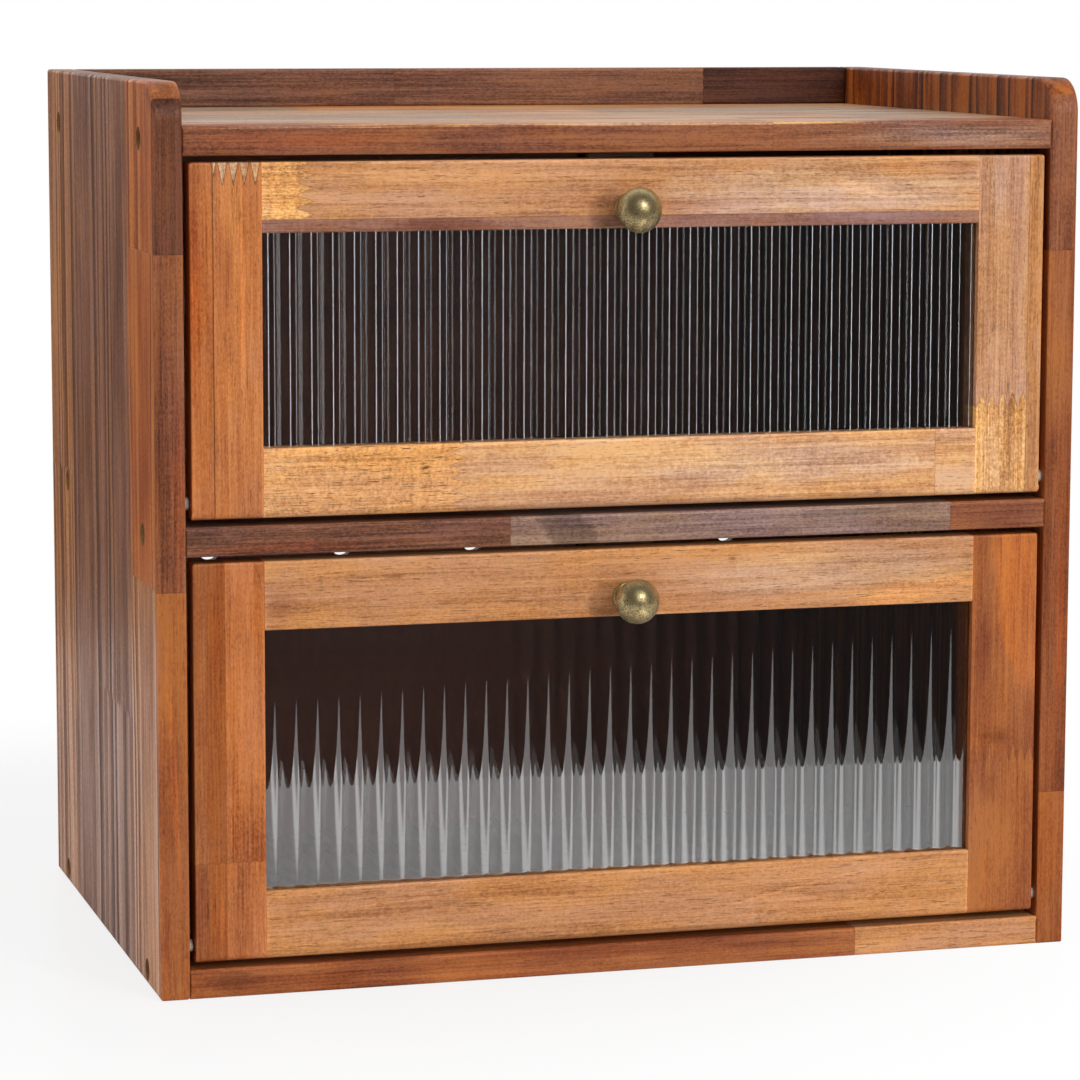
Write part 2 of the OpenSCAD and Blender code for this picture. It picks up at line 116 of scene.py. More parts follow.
# %% The node bench
class Bench:
    """Adds nodes to one tree. A value is a number, a tuple or another node's output."""

    MIX = {"FLOAT": (2, 0), "VECTOR": (4, 1), "RGBA": (6, 2)}

    def __init__(self, tree):
        self.tree = tree

    def fill(self, socket, value):
        if isinstance(value, bpy.types.NodeSocket):
            self.tree.links.new(value, socket)
        elif value is not None:
            socket.default_value = value

    def fill_named(self, node, **values):
        """A keyword fills the input of that name, spaces as _."""
        for name, value in values.items():
            self.fill(node.inputs[name.replace("_", " ")], value)

    def add(self, kind, *values, **settings):
        made = self.tree.nodes.new("ShaderNode" + kind)
        for key, value in settings.items():
            setattr(made, key, value)
        for socket, value in zip(made.inputs, values):
            self.fill(socket, value)
        return made

    def math(self, work, a, b=None, c=None, clamp=False):
        return self.add("Math", a, b, c, operation=work, use_clamp=clamp).outputs[0]

    def times(self, a, b, clamp=False):
        return self.math("MULTIPLY", a, b, clamp=clamp)

    def scaled(self, a, factor, more, clamp=False):
        """a times factor, plus more."""
        return self.math("MULTIPLY_ADD", a, factor, more, clamp)

    def minus(self, a, b):
        return self.math("SUBTRACT", a, b)

    def vector(self, work, a, b=None, c=None, out=0):
        return self.add("VectorMath", a, b, c, operation=work).outputs[out]

    def length(self, arrow):
        return self.vector("LENGTH", arrow, out=1)

    def split(self, arrow):
        return self.add("SeparateXYZ", arrow).outputs

    def join(self, x, y, z):
        return self.add("CombineXYZ", x, y, z).outputs[0]

    def mix(self, share, a, b, kind="RGBA", blend="MIX"):
        made = self.add("Mix", share, data_type=kind, blend_type=blend)
        first, out = self.MIX[kind]
        self.fill(made.inputs[first], a)
        self.fill(made.inputs[first + 1], b)
        return made.outputs[out]

    def noise(self, where, scale, detail=2.0, rough=0.5, twist=0.0):
        made = self.add("TexNoise", where, None, scale, detail, rough)
        made.inputs["Distortion"].default_value = twist
        return made.outputs["Fac"]

    def streaks(self, where, cells, detail=2.0, rough=0.5, twist=0.0):
        """Noise with its own number of cells to the metre along each axis."""
        return self.noise(self.vector("MULTIPLY", where, cells), 1.0, detail, rough, twist)

    def step(self, value, low, high):
        """0 below low, 1 above high, smooth between."""
        made = self.add("MapRange", value, low, high, interpolation_type="SMOOTHSTEP")
        return made.outputs[0]

    def relief(self, height, strength, distance):
        """The normal that a Bump node makes of a height; distance is in metres."""
        made = self.add("Bump", strength, distance)
        self.fill_named(made, Height=height)
        return made.outputs[0]

    def group(self, tree, **values):
        """Places a group and fills its named inputs."""
        made = self.add("Group", node_tree=tree)
        self.fill_named(made, **values)
        return made.outputs


def new_group(name, inputs, outputs):
    """An empty group. An input's kind follows from its value: one number, three for a
    vector or four for a colour. An output is a number unless it is called Color."""
    tree = bpy.data.node_groups.new(name, "ShaderNodeTree")
    for title, value in inputs.items():
        kind = {3: "Vector", 4: "Color"}[len(value)] if isinstance(value, tuple) else "Float"
        made = tree.interface.new_socket(title, in_out="INPUT", socket_type="NodeSocket" + kind)
        made.default_value = value
    for title in outputs:
        kind = "Color" if title == "Color" else "Float"
        tree.interface.new_socket(title, in_out="OUTPUT", socket_type="NodeSocket" + kind)
    given, out = tree.nodes.new("NodeGroupInput"), tree.nodes.new("NodeGroupOutput")
    return Bench(tree), given.outputs, out


def tone(code):
    """A colour from its six hex digits as seen on a screen, made linear."""
    seen = np.array([int(code[i:i + 2], 16) for i in (0, 2, 4)]) / 255
    linear = np.where(seen <= 0.04045, seen / 12.92, ((seen + 0.055) / 1.055) ** 2.4)
    return (*linear.tolist(), 1.0)


def new_material(name):
    """A material with a bench, its Principled shader and the object's coordinates."""
    made = bpy.data.materials.new(name)
    made.use_nodes = True
    bench = Bench(made.node_tree)
    shader = made.node_tree.nodes["Principled BSDF"]
    return made, bench, shader, bench.add("TexCoord").outputs

# %% [markdown]
# ## Floor, world and lamps
# A white floor, a white background and soft lamps. The key and the strip are softboxes
# at the front right. The key gives most of the light and throws the knobs' shadows to
# the left. The strip is tall, narrow and weak, and is there for its mirror image, which
# draws a line of light on every reed of the panes. The high lamp lights the domes of the
# knobs, and the narrow streak lamp draws the highlight on their left. Mirrors don't show
# the key, the left and the top lamp, which would turn flat faces white wherever they are
# seen at a grazing angle. The table ends half a metre in front of the box, and beyond it
# the room is dim, which the panes mirror. A lane on the table is bright in mirrors only:
# the reeds of the lower pane draw it as their second line. For camera rays the world is
# plain white, and the floor turns to white too: a little everywhere, fully at some
# distance from the box.

# %% Lay the floor
TABLE_X, TABLE_FRONT, TABLE_BACK = 4.0, -0.545, 0.80
FADE_ABOUT, FADE_FROM, FADE_TO = (-0.15, 0.08, 0), 0.22, 0.48
FLOOR_TONE, FLOOR_ROUGH, NEAR_WHITE = 0.72, 0.30, 0.80
GLEAM_PLAIN, GLEAM_LANE, GLEAM_SHARE, GLEAM_FROM, GLEAM_TO = 0.85, 2.6, 0.75, -0.05, -0.25
LANE_X, LANE_EDGE, LANE_CORE = 0.10, 0.10, 0.02


def new_mesh(name, points, faces):
    """A mesh from an array of points and a list of faces, each a list of point numbers."""
    mesh = bpy.data.meshes.new(name)
    mesh.from_pydata(points.tolist(), [], faces)
    return mesh


def flat_grid(name, x, y, z, steps=12):
    """A level grid: x and y run over their ranges in equal steps, and z stays."""
    gx, gy = np.meshgrid(np.linspace(*x, steps + 1), np.linspace(*y, steps + 1))
    points = np.column_stack([gx.ravel(), gy.ravel(), np.full(gx.size, z)])
    at = np.arange(gx.size).reshape(gx.shape)
    faces = np.stack([at[:-1, :-1], at[:-1, 1:], at[1:, 1:], at[1:, :-1]], -1).reshape(-1, 4)
    return put(name, new_mesh(name, points, faces.tolist()))


floor = flat_grid("floor", (-TABLE_X, TABLE_X), (TABLE_FRONT, TABLE_BACK), 0.0)
floor_finish, bench, shader, at = new_material("floor_white")
bench.fill_named(shader, Base_Color=(FLOOR_TONE, FLOOR_TONE, FLOOR_TONE, 1), Roughness=FLOOR_ROUGH)
away = bench.length(bench.vector("SUBTRACT", at["Object"], FADE_ABOUT))
paths = bench.add("LightPath").outputs
seen = bench.math("MAXIMUM", paths["Is Camera Ray"], paths["Is Transmission Ray"])
fade = bench.scaled(bench.step(away, FADE_FROM, FADE_TO), 1 - NEAR_WHITE, NEAR_WHITE)
white_share = bench.times(fade, seen)
spot = bench.split(at["Object"])
gleam = bench.times(bench.step(spot["Y"], GLEAM_FROM, GLEAM_TO), GLEAM_SHARE)
from_lane = bench.math("ABSOLUTE", bench.minus(spot["X"], LANE_X))
lane = bench.mix(bench.step(from_lane, LANE_EDGE, LANE_CORE), GLEAM_PLAIN, GLEAM_LANE, "FLOAT")
white_share = bench.mix(paths["Is Glossy Ray"], white_share, gleam, "FLOAT")
glow = bench.mix(paths["Is Glossy Ray"], 1.0, lane, "FLOAT")
white = bench.add("Emission", (1, 1, 1, 1), glow)
floor_mix = bench.add("MixShader", white_share, shader.outputs[0], white.outputs[0])
bench.fill(floor_finish.node_tree.nodes["Material Output"].inputs[0], floor_mix.outputs[0])
floor.data.materials.append(floor_finish)
print("the floor fades to white from", FADE_FROM, "to", FADE_TO, "m")

# %% Light the world
AMBIENT, ROOM_DIM, ROOM_BRIGHT = 0.20, 0.03, 0.80
ROOM_ROUND, ROOM_RISE = (-0.25, 0.25), (-0.06, 0.10)
scene.view_settings.view_transform = "Standard"
world = bpy.data.worlds.new("studio")
scene.world = world
world.use_nodes = True
bench = Bench(world.node_tree)
world.node_tree.nodes.clear()
paths = bench.add("LightPath").outputs
facing = bench.split(bench.add("TexCoord").outputs["Generated"])
behind = bench.step(facing["Y"], *ROOM_ROUND)
lit = bench.times(behind, bench.step(facing["Z"], *ROOM_RISE))
room = bench.scaled(lit, ROOM_BRIGHT - ROOM_DIM, ROOM_DIM)
strength = bench.mix(paths["Is Glossy Ray"], AMBIENT, room, "FLOAT")
through = bench.mix(behind, ROOM_DIM, 1.0, "FLOAT")
strength = bench.mix(paths["Is Transmission Ray"], strength, through, "FLOAT")
strength = bench.mix(paths["Is Camera Ray"], strength, 1.0, "FLOAT")
sky = bench.add("Background", (1, 1, 1, 1), strength)
bench.add("OutputWorld", sky.outputs[0])

# %% Hang the lamps
LAMPS = {  # name: (place, what it looks at, width, height, power in watts)
    "strip": ((1.80, -3.60, 0.55), (0.0, 0.0, 0.30), 0.32, 1.68, 6.5),
    "key": ((1.80, -3.55, 0.85), (0.0, 0.0, 0.25), 0.45, 0.80, 61),
    "high": ((0.47, -1.75, 1.05), (0.0, 0.0, 0.25), 0.60, 0.60, 12.0),
    "streak": ((-1.60, -0.25, 0.50), (0.0, 0.0, 0.30), 0.14, 0.8, 1.5),
    "left": ((-1.60, -0.25, 0.55), (0.0, 0.0, 0.25), 0.25, 1.3, 10),
    "top": ((-0.1, -0.3, 1.9), (0.0, -0.1, 0.2), 1.6, 1.2, 20),
}
UNMIRRORED = ("key", "left", "top")
for name, (place, target, width, height, power) in LAMPS.items():
    data = bpy.data.lights.new(name, "AREA")
    data.shape, data.size, data.size_y, data.energy = "RECTANGLE", width, height, power
    lamp = put(name, data)
    back = np.array(place) - np.array(target)
    back /= np.linalg.norm(back)
    side = np.cross([0, 0, 1], back)
    side /= np.linalg.norm(side)
    aim(lamp, side, np.cross(back, side), back, place)
    lamp.visible_glossy = name not in UNMIRRORED
print("lamps:", ", ".join(LAMPS))

# %% [markdown]
# ## Softened boards
# Real boards have no knife edges: sandpaper takes about a millimetre off every outer
# edge, and that thin round catches the light. The CAD boards are exact but sharp. We
# copy each one, weld its loose triangles, join them into flat faces, and give chosen
# edges a bevel weight. A Bevel modifier then rounds only those, each by its own width.
# Where two members of a door frame meet, a hair-fine bevel draws the joint. Large faces
# are shaded flat and only the small ones blend into each other, because a sliver beside
# a bore would otherwise bend the light on a whole board.

# %% Copy a CAD node and soften it
EDGE_ROUND = 1.0 * MM
JOINT_ROUND = 0.22 * MM
WELD, FLAT_ANGLE, SHARP_ANGLE = 0.002 * MM, 0.002, np.radians(35)
ON_FACE = 0.02 * MM
LARGE_FACE = 50 * MM ** 2  # square metres; every face of an arc or a bore is smaller


def welded_copy(node, name):
    """The node's triangles with doubles merged and flat neighbours joined."""
    bm = bmesh.new()
    bm.from_mesh(NODES[node].data)
    bmesh.ops.remove_doubles(bm, verts=bm.verts, dist=WELD)
    bmesh.ops.dissolve_limit(bm, angle_limit=FLAT_ANGLE, verts=bm.verts, edges=bm.edges)
    mesh = bpy.data.meshes.new(name)
    bm.to_mesh(mesh)
    bm.free()
    return mesh


def read(items, name, width=1, kind=float):
    """One property of all vertices, edges or faces as an array, width numbers each."""
    values = np.empty(len(items) * width, kind)
    items.foreach_get(name, values)
    return values.reshape(-1, width) if width > 1 else values


def edge_turns(mesh):
    """The angle between the two faces of each edge, from the faces' own normals."""
    normals = read(mesh.polygons, "normal", 3)
    sizes = read(mesh.polygons, "loop_total", kind=int)
    edges = read(mesh.loops, "edge_index", kind=int)
    faces = np.repeat(np.arange(len(sizes)), sizes)
    order = np.argsort(edges, kind="stable")
    edges, faces = edges[order], faces[order]
    first = np.searchsorted(edges, np.arange(len(mesh.edges)))
    pair = normals[faces[first]], normals[faces[np.minimum(first + 1, len(faces) - 1)]]
    return np.arccos(np.clip((pair[0] * pair[1]).sum(1), -1, 1))


def stand_for(piece, node):
    """The piece takes the node's place, body and material slot."""
    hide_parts(node)
    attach(piece, BODY_OF[node])
    return piece


def soften(node, name, outer=EDGE_ROUND, joints=(), corner=None, every=False, segments=3):
    """Rounds a copy of a node. An edge is outer if both its ends lie on two faces of
    the node's box, or in the corner where y < corner[0] and z > corner[1] (mm), or if
    every sharp edge counts; joints are planes (axis, place in mm) that stay hair-fine."""
    mesh = welded_copy(node, name)
    points = read(mesh.vertices, "co", 3)
    ends = points[read(mesh.edges, "vertices", 2, int)]
    sharp = edge_turns(mesh) > SHARP_ANGLE
    low, high = points.min(0), points.max(0)
    on_face = (np.minimum(ends - low, high - ends) < ON_FACE).all(1)
    chosen = sharp & (every | (on_face.sum(1) >= 2))
    if corner:
        front, top = (place * MM for place in corner)
        chosen |= sharp & ((ends[:, :, 1] < front) & (ends[:, :, 2] > top)).all(1)
    width = np.where(chosen, outer, 0.0)
    for axis, place in joints:
        fine = sharp & (abs(ends[:, :, axis] - place * MM) < ON_FACE).all(1)
        width[fine] = np.where(width[fine] > 0, JOINT_ROUND, 0.0)
    weights = mesh.attributes.new("bevel_weight_edge", "FLOAT", "EDGE")
    weights.data.foreach_set("value", (width / outer).astype(np.float32))
    mesh.set_sharp_from_angle(angle=SHARP_ANGLE)
    mesh.polygons.foreach_set("use_smooth", read(mesh.polygons, "area") < LARGE_FACE)
    piece = put(name, mesh)
    bevel = piece.modifiers.new("softened edges", "BEVEL")
    bevel.limit_method, bevel.width, bevel.segments = "WEIGHT", outer, segments
    bevel.use_clamp_overlap = False
    return stand_for(piece, node)

# %% [markdown]
# ## Grain of stained pine
# A board is cut from a trunk, so its pattern is a slice through rings about the pith.
# One formula gives stripes, flames and end grain at once: the distance to an axis that
# runs along the board, warped a little by noise, then cut into rings that darken slowly
# and end sharply. Stain soaks into the soft wood more than into the hard rings. On top
# come long thin fibres, short dark flecks, curled figure across the grain and cloudy
# patches. Everything adds to one number, the depth of the stain, which then picks a
# colour between a light, a middle and a dark one.

# %% The grain group
HUES = (1.06, 1.02, 0.90, 1), (0.94, 0.95, 1.12, 1)
PORE = (0.02, 0.01, 0.005, 1)
WARP_CELLS, WARP = (5, 26, 26), 12 * MM
LAYERS = {  # pattern: (cells to the metre along and across, detail, roughness, twist)
    "fine": ((26, 1150, 1150), 3.0, 0.62), "coarse": ((9, 270, 270), 3.0, 0.55),
    "pores": ((150, 1700, 1700), 2.0, 0.55), "ripple": ((230, 70, 70), 2.0, 0.6, 1.2),
    "speck": ((820, 640, 640), 2.0, 0.6), "cloud": ((11, 34, 34), 3.0, 0.55),
    "grit": ((620, 1500, 1500), 2.0, 0.7), "hue": ((17, 70, 70), 4.0, 0.6),
}


def build_grain():
    b, given, out = new_group(
        "stained grain",
        {"Position": (0, 0, 0), "Pith": (0, 0, 0), "Light": tone("d9a066"),
         "Middle": tone("c08850"), "Dark": tone("80502c"), "Ring Width": 0.004, "Rings": 0.3,
         "Pale Lines": 0.0, "Fibre": 0.3, "Flecks": 0.3, "Curl": 0.0, "Clouds": 0.3},
        ("Color", "Height", "Stain"))
    place = b.vector("ADD", given["Position"], given["Pith"])
    slow = b.vector("MULTIPLY", place, WARP_CELLS)
    warp = b.add("TexNoise", slow, None, 1.0, 2.0, 0.5).outputs["Color"]
    warp = b.vector("MULTIPLY_ADD", warp, (0, WARP, WARP), (0, -WARP / 2, -WARP / 2))
    radius = b.length(b.vector("MULTIPLY", b.vector("ADD", place, warp), (0, 1, 1)))
    turns = b.math("DIVIDE", radius, given["Ring Width"])
    uneven = b.add("TexNoise", None, turns, 0.6, 1.0, 0.5, noise_dimensions="1D").outputs["Fac"]
    turns = b.scaled(uneven, 2.2, turns)
    ring = b.math("FRACT", turns)
    late = b.times(b.step(ring, 0.35, 0.93), b.step(ring, 1.0, 0.93))
    pale = b.times(b.step(ring, 0.0, 0.06), b.step(ring, 0.24, 0.10))
    loud = b.add("TexNoise", None, turns, 0.37, 0.0, 0.5, noise_dimensions="1D").outputs["Fac"]
    loud = b.step(loud, 0.30, 0.62)
    layer = {name: b.streaks(place, *numbers) for name, numbers in LAYERS.items()}
    fibre, curl = (b.minus(b.scaled(layer[small], 1.3, b.times(layer[large], 0.9)), 1.1)
                   for small, large in (("fine", "coarse"), ("speck", "ripple")))
    pores = b.step(layer["pores"], 0.60, 0.70)
    cloud, grit = (b.minus(layer[name], 0.5) for name in ("cloud", "grit"))
    stain = 0.40
    for amount, pattern, strength in (
            ("Rings", b.times(b.minus(late, 0.3), loud), 1.0),
            ("Pale Lines", b.times(pale, loud), -1.0), ("Fibre", fibre, 4.2),
            ("Fibre", grit, 5.0), ("Curl", curl, 2.6), ("Clouds", cloud, 4.2)):
        stain = b.scaled(b.times(given[amount], strength), pattern, stain)
    half = b.times(stain, 2.0, clamp=True)
    rest = b.scaled(stain, 2.0, -1.0, clamp=True)
    colour = b.mix(rest, b.mix(half, given["Light"], given["Middle"]), given["Dark"])
    hue = b.mix(b.step(layer["hue"], 0.36, 0.64), *HUES)
    colour = b.mix(1.0, colour, hue, blend="MULTIPLY")
    pores = b.times(pores, given["Flecks"])
    colour = b.mix(pores, colour, b.mix(0.55, given["Dark"], PORE))
    height = b.scaled(late, 0.25, b.times(fibre, 0.5))
    height = b.scaled(pores, -0.8, height)
    b.fill_named(out, Color=colour, Height=height, Stain=stain)
    return b.tree


GRAIN = build_grain()

# %% [markdown]
# ## Joints in the boards
# The boards are glued up from short offcuts. Along the grain, their ends interlock in
# long teeth; across the grain, straight edges meet in a thin line of glue. A joint is a
# step in one coordinate. For a toothed joint the step's place runs to and fro across the
# board as a blunted zigzag. The group gives which side of the joint a point lies on,
# and a line along it.

# %% The joint group
def build_joint():
    b, given, out = new_group(
        "toothed joint",
        {"Along": 0.0, "Across": 0.0, "Where": 0.0, "Pitch": 0.0045, "Depth": 0.008,
         "Thick": 0.00022},
        ("Side", "Line"))
    half = b.times(given["Pitch"], 0.5)
    tooth = b.math("DIVIDE", b.math("PINGPONG", given["Across"], half), half)
    tooth = b.scaled(tooth, 1.25, -0.125, clamp=True)
    uneven = b.noise(b.join(given["Along"], given["Across"], 0.0), 700.0, 1.0)
    tooth = b.scaled(b.minus(uneven, 0.5), 0.12, b.minus(tooth, 0.5))
    edge = b.scaled(tooth, given["Depth"], given["Where"])
    past = b.minus(given["Along"], edge)
    slope = b.scaled(b.math("DIVIDE", given["Depth"], given["Pitch"]), 2.0, 1.0)
    near = b.math("DIVIDE", b.math("ABSOLUTE", past), b.times(given["Thick"], slope))
    faint = b.scaled(uneven, 1.6, -0.1, clamp=True)
    b.fill_named(out, Side=b.math("GREATER_THAN", past, 0.0),
                 Line=b.times(b.step(near, 1.6, 0.4), faint))
    return b.tree


JOINT = build_joint()

# %% [markdown]
# ## Worn and highlighted edges
# Along the edges a line of lighter wood is painted: partly stain rubbed thin, partly a
# painted highlight where the round of the edge catches the light. A point on a
# box-shaped board lies on one of its faces, so of its distances to the three pairs of
# faces the smallest is zero and the middle one is the distance to the nearest edge.

# %% The edge group
def build_edges():
    b, given, out = new_group(
        "worn and highlighted edges",
        {"Position": (0, 0, 0), "Low": (0, 0, 0), "High": (1, 1, 1), "Width": 0.0012},
        ("Wear",))
    inside = b.vector("MINIMUM", b.vector("SUBTRACT", given["Position"], given["Low"]),
                      b.vector("SUBTRACT", given["High"], given["Position"]))
    x, y, z = b.split(inside)
    larger = b.math("MAXIMUM", x, y)
    middle = b.math("MAXIMUM", b.math("MINIMUM", x, y), b.math("MINIMUM", larger, z))
    rough = b.streaks(given["Position"], (160, 160, 160), 3.0, 0.6)
    reach = b.times(given["Width"], b.scaled(rough, 2.2, 0.2))
    # The mask of the lighter edge line: partly wear, partly a painted highlight.
    b.fill_named(out, Wear=b.step(middle, reach, 0.0))
    return b.tree


EDGES = build_edges()
print("groups:", ", ".join(g.name for g in bpy.data.node_groups))

# %% [markdown]
# ## Marks of stain, painted sheen and painted shade
# Stain is never even. A knot darkens the wood round it, a flame of sapwood stays pale,
# heartwood turns a whole patch brown. Some marks paint light and shade instead: a paler,
# greyer sheen where the lacquer would mirror light, and a dark band of shade along the
# rounded bottom edge of a door. Each is a soft blot at a place on the board: the
# distance to its middle, measured in its own half sizes, bent by noise along the grain.

# %% The mark group
def build_mark():
    b, given, out = new_group(
        "stain and painted light mark",
        {"Position": (0, 0, 0), "Middle": (0, 0, 0), "Reach": (0.01, 0.01, 0.01),
         "Lean": (0, 0, 0), "Hard": 0.3, "Ragged": 0.35},
        ("Mask",))
    off = b.vector("SUBTRACT", given["Position"], given["Middle"])
    parts, turn = b.split(off), b.split(given["Lean"])
    leant = b.scaled(parts["Z"], turn["X"], parts["X"])
    risen = b.scaled(parts["X"], turn["Z"], parts["Z"])
    off = b.vector("DIVIDE", b.join(leant, parts["Y"], risen), given["Reach"])
    noise = b.noise(b.vector("DIVIDE", given["Position"], given["Reach"]), 2.6, 3.0, 0.6)
    far = b.scaled(b.minus(noise, 0.5), b.times(given["Ragged"], 3.0), b.length(off))
    low = b.times(given["Hard"], 0.96)
    b.fill_named(out, Mask=b.step(far, 1.0, low))
    return b.tree


MARK = build_mark()

# %% [markdown]
# ## A palette of woods
# Every offcut took the stain in its own way. A wood is three colours (light, middle and
# dark) and the strength of each pattern of the grain group. The boards below are laid
# out from these woods, so the palette stays small and the whole box looks of one batch.

# %% The palette
# light, middle, dark; ring width in mm; rings, pale lines, fibre, flecks, curl, clouds
WOODS = {
    "honey": ("d49e72", "be875a", "945e3a", 5.0, 0.22, 0.0, 0.24, 0.7, 0.16, 0.30),
    "honey_low": ("cf9666", "b98050", "905a33", 5.0, 0.22, 0.0, 0.24, 0.7, 0.16, 0.30),
    "gold_curl": ("f9c98b", "d49a5e", "925c33", 5.0, 0.08, 0.0, 0.24, 0.5, 0.24, 0.35),
    "gold_fleck": ("f2b87a", "d99c60", "9a663b", 4.0, 0.10, 0.0, 0.22, 1.0, 0.30, 0.25),
    "tan_pink": ("e2b281", "cb9464", "a26f49", 4.5, 0.16, 0.0, 0.26, 0.6, 0.22, 0.35),
    "tan_dusk": ("cfa17c", "ba8660", "946546", 4.5, 0.16, 0.0, 0.26, 0.6, 0.22, 0.35),
    "tan_speck": ("e6c49a", "cd9f74", "9c6f4c", 6.0, 0.10, 0.0, 0.16, 0.6, 0.42, 0.40),
    "mauve": ("a17662", "90614c", "724836", 4.5, 0.16, 0.0, 0.26, 0.6, 0.22, 0.35),
    "amber": ("ca8650", "b46c3d", "8a4c29", 5.0, 0.20, 0.0, 0.26, 0.5, 0.12, 0.35),
    "amber_deep": ("a36030", "914d23", "6e3517", 5.0, 0.20, 0.0, 0.26, 0.5, 0.12, 0.35),
    "orange": ("c67c4b", "ae6533", "81401f", 5.0, 0.18, 0.0, 0.24, 0.4, 0.10, 0.40),
    "rust": ("a76738", "8f4e29", "653018", 5.0, 0.20, 0.0, 0.22, 0.4, 0.10, 0.45),
    "red_brown": ("9a613e", "804a30", "563020", 4.0, 0.20, 0.0, 0.30, 0.4, 0.14, 0.35),
    "ash_brown": ("a08473", "856659", "59443f", 4.0, 0.20, 0.0, 0.30, 0.4, 0.14, 0.35),
    "brown": ("875c43", "6c4531", "472c1f", 4.0, 0.20, 0.0, 0.30, 0.4, 0.10, 0.30),
    "brown_dark": ("784a36", "603826", "3e2318", 4.0, 0.20, 0.0, 0.30, 0.4, 0.10, 0.30),
    "shelf_brown": ("8d5d47", "6b4534", "462a1f", 4.0, 0.22, 0.0, 0.34, 0.4, 0.08, 0.35),
    "smoke_stripe": ("a07157", "734a35", "4f3224", 14.0, 1.15, 1.25, 0.26, 0.3, 0.04, 0.3),
    "tan_stripe": ("c2895e", "97613d", "673e27", 9.0, 1.15, 1.25, 0.28, 0.3, 0.04, 0.3),
    "orange_stripe": ("c37c46", "a2562b", "6e3517", 11.0, 0.75, 0.95, 0.26, 0.3, 0.04, 0.3),
    "ember_stripe": ("a55e2b", "723719", "3a1b0e", 12.0, 0.9, 0.9, 0.26, 0.3, 0.04, 0.45),
    "deep": ("5c3626", "432419", "28140d", 5.0, 0.25, 0.0, 0.30, 0.3, 0.08, 0.30),
    "back_brown": ("8a5034", "79422b", "653520", 6.0, 0.10, 0.0, 0.08, 0.1, 0.02, 0.12),
}
MARK_TINTS = {  # what a mark multiplies the wood's colour by
    "dark": (0.50, 0.44, 0.42, 1), "knot": (0.30, 0.22, 0.18, 1), "grey": (0.62, 0.66, 0.72, 1),
    "plum": (0.70, 0.58, 0.60, 1), "pale": (1.28, 1.24, 1.16, 1), "warm": (1.10, 0.92, 0.66, 1),
    "glow": (1.45, 1.30, 1.05, 1), "red": (1.22, 0.86, 0.62, 1), "soot": (0.36, 0.36, 0.38, 1),
    # On this row, the first and the last tint are painted sheen: they lift the wood towards grey
    # where the lacquer would mirror light, and are no colour of the wood.
    "rose": (1.10, 1.36, 1.82, 1), "crack": (0.16, 0.10, 0.07, 1), "mist": (1.95, 3.10, 3.60, 1),
}
print(len(WOODS), "woods and", len(MARK_TINTS), "marks")

# %% [markdown]
# ## Laying out a board
# A board is a list of staves, from one edge to the other, and a stave is a list of
# offcuts along the grain. We walk through them in order: behind each joint the next
# wood takes over all numbers of the grain group, which is placed only once. A shuffle
# with a fixed seed slides and turns every offcut within its trunk, so no two match.

# %% The board finish
AXES = {"x": 0, "y": 1, "z": 2}
GLUE, RAW_WOOD, RAW_SHADE = tone("4a2816"), tone("b98f5c"), tone("7d5630")
# The second colour lightens the edges: partly wear, partly a painted highlight.
END_GRAIN, WORN_AND_HIGHLIGHT = (0.45, 0.38, 0.34, 1), (1.5, 1.42, 1.3, 1)
END_SHARE, WEAR_AND_HIGHLIGHT, BUMP = 0.45, 0.35, 0.5
LACQUER_ROUGH, STAIN_ROUGH, LACQUER_SHINE, RAW_ROUGH = 0.32, 0.16, 0.20, 0.75
JOINT_THICK, BUMP_HEIGHT, BORE_RADIUS = 0.18 * MM, 0.12 * MM, 4.9 * MM
PLAIN_DEPTH = 0.3  # mm; how far a joint without teeth wanders


def pith_for(random, flat):
    """Where an offcut lay in its trunk: anywhere along it, and off its pith. A flat
    sawn board lies a little to the side of the pith, a striped one far to the side."""
    side = 0.03 + 0.05 * random.random() if flat else 0.25 + 0.2 * random.random()
    depth = 0.05 + 0.05 * random.random() if flat else 0.02 * random.random()
    return (3 + 5 * random.random(), side * random.choice([-1, 1]), depth * random.choice([-1, 1]))


def wood_numbers(wood, random):
    """The seven values that a wood hands to the grain group, as three colours and four
    packed vectors."""
    *colours, width, rings, pale, fibre, flecks, curl, clouds = WOODS[wood]
    pith = pith_for(random, flat=not wood.endswith("stripe"))
    vectors = pith, (width * MM, rings, pale), (fibre, flecks, curl), (clouds, 0, 0)
    return [("RGBA", tone(code)) for code in colours] + [("VECTOR", v) for v in vectors]


def lay_out(b, along, across, staves, random, pitch):
    """Walks the staves and gives the grain numbers at a point, and the joint lines. A
    stave that ends in "plain" is a band of colour and has no glue line."""
    numbers, lines = [], 0.0
    for i, (start, (first, *joined), *plain) in enumerate(staves):
        here = 1.0
        if i:
            here = b.math("GREATER_THAN", across, start * MM)
            lines = b.times(lines, b.minus(1.0, here))
        if i and not plain:
            near = b.math("ABSOLUTE", b.minus(across, start * MM))
            glued = b.step(near, JOINT_THICK * 1.5, JOINT_THICK * 0.4)
            lines = b.math("MAXIMUM", lines, glued)
        for where, wood, *teeth in [(None, first), *joined]:
            share = here
            if where is not None:
                depth = teeth[0] if teeth else PLAIN_DEPTH
                joint = b.group(JOINT, Along=along, Across=across, Where=where * MM,
                                Pitch=pitch * MM, Depth=depth * MM, Thick=JOINT_THICK)
                share = b.times(joint["Side"], here)
                lines = b.math("MAXIMUM", lines, b.times(joint["Line"], here))
            new = wood_numbers(wood, random)
            if numbers:
                new = [(kind, b.mix(share, old, value, kind))
                       for (_, old), (kind, value) in zip(numbers, new)]
            numbers = new
    return [value for _, value in numbers], lines


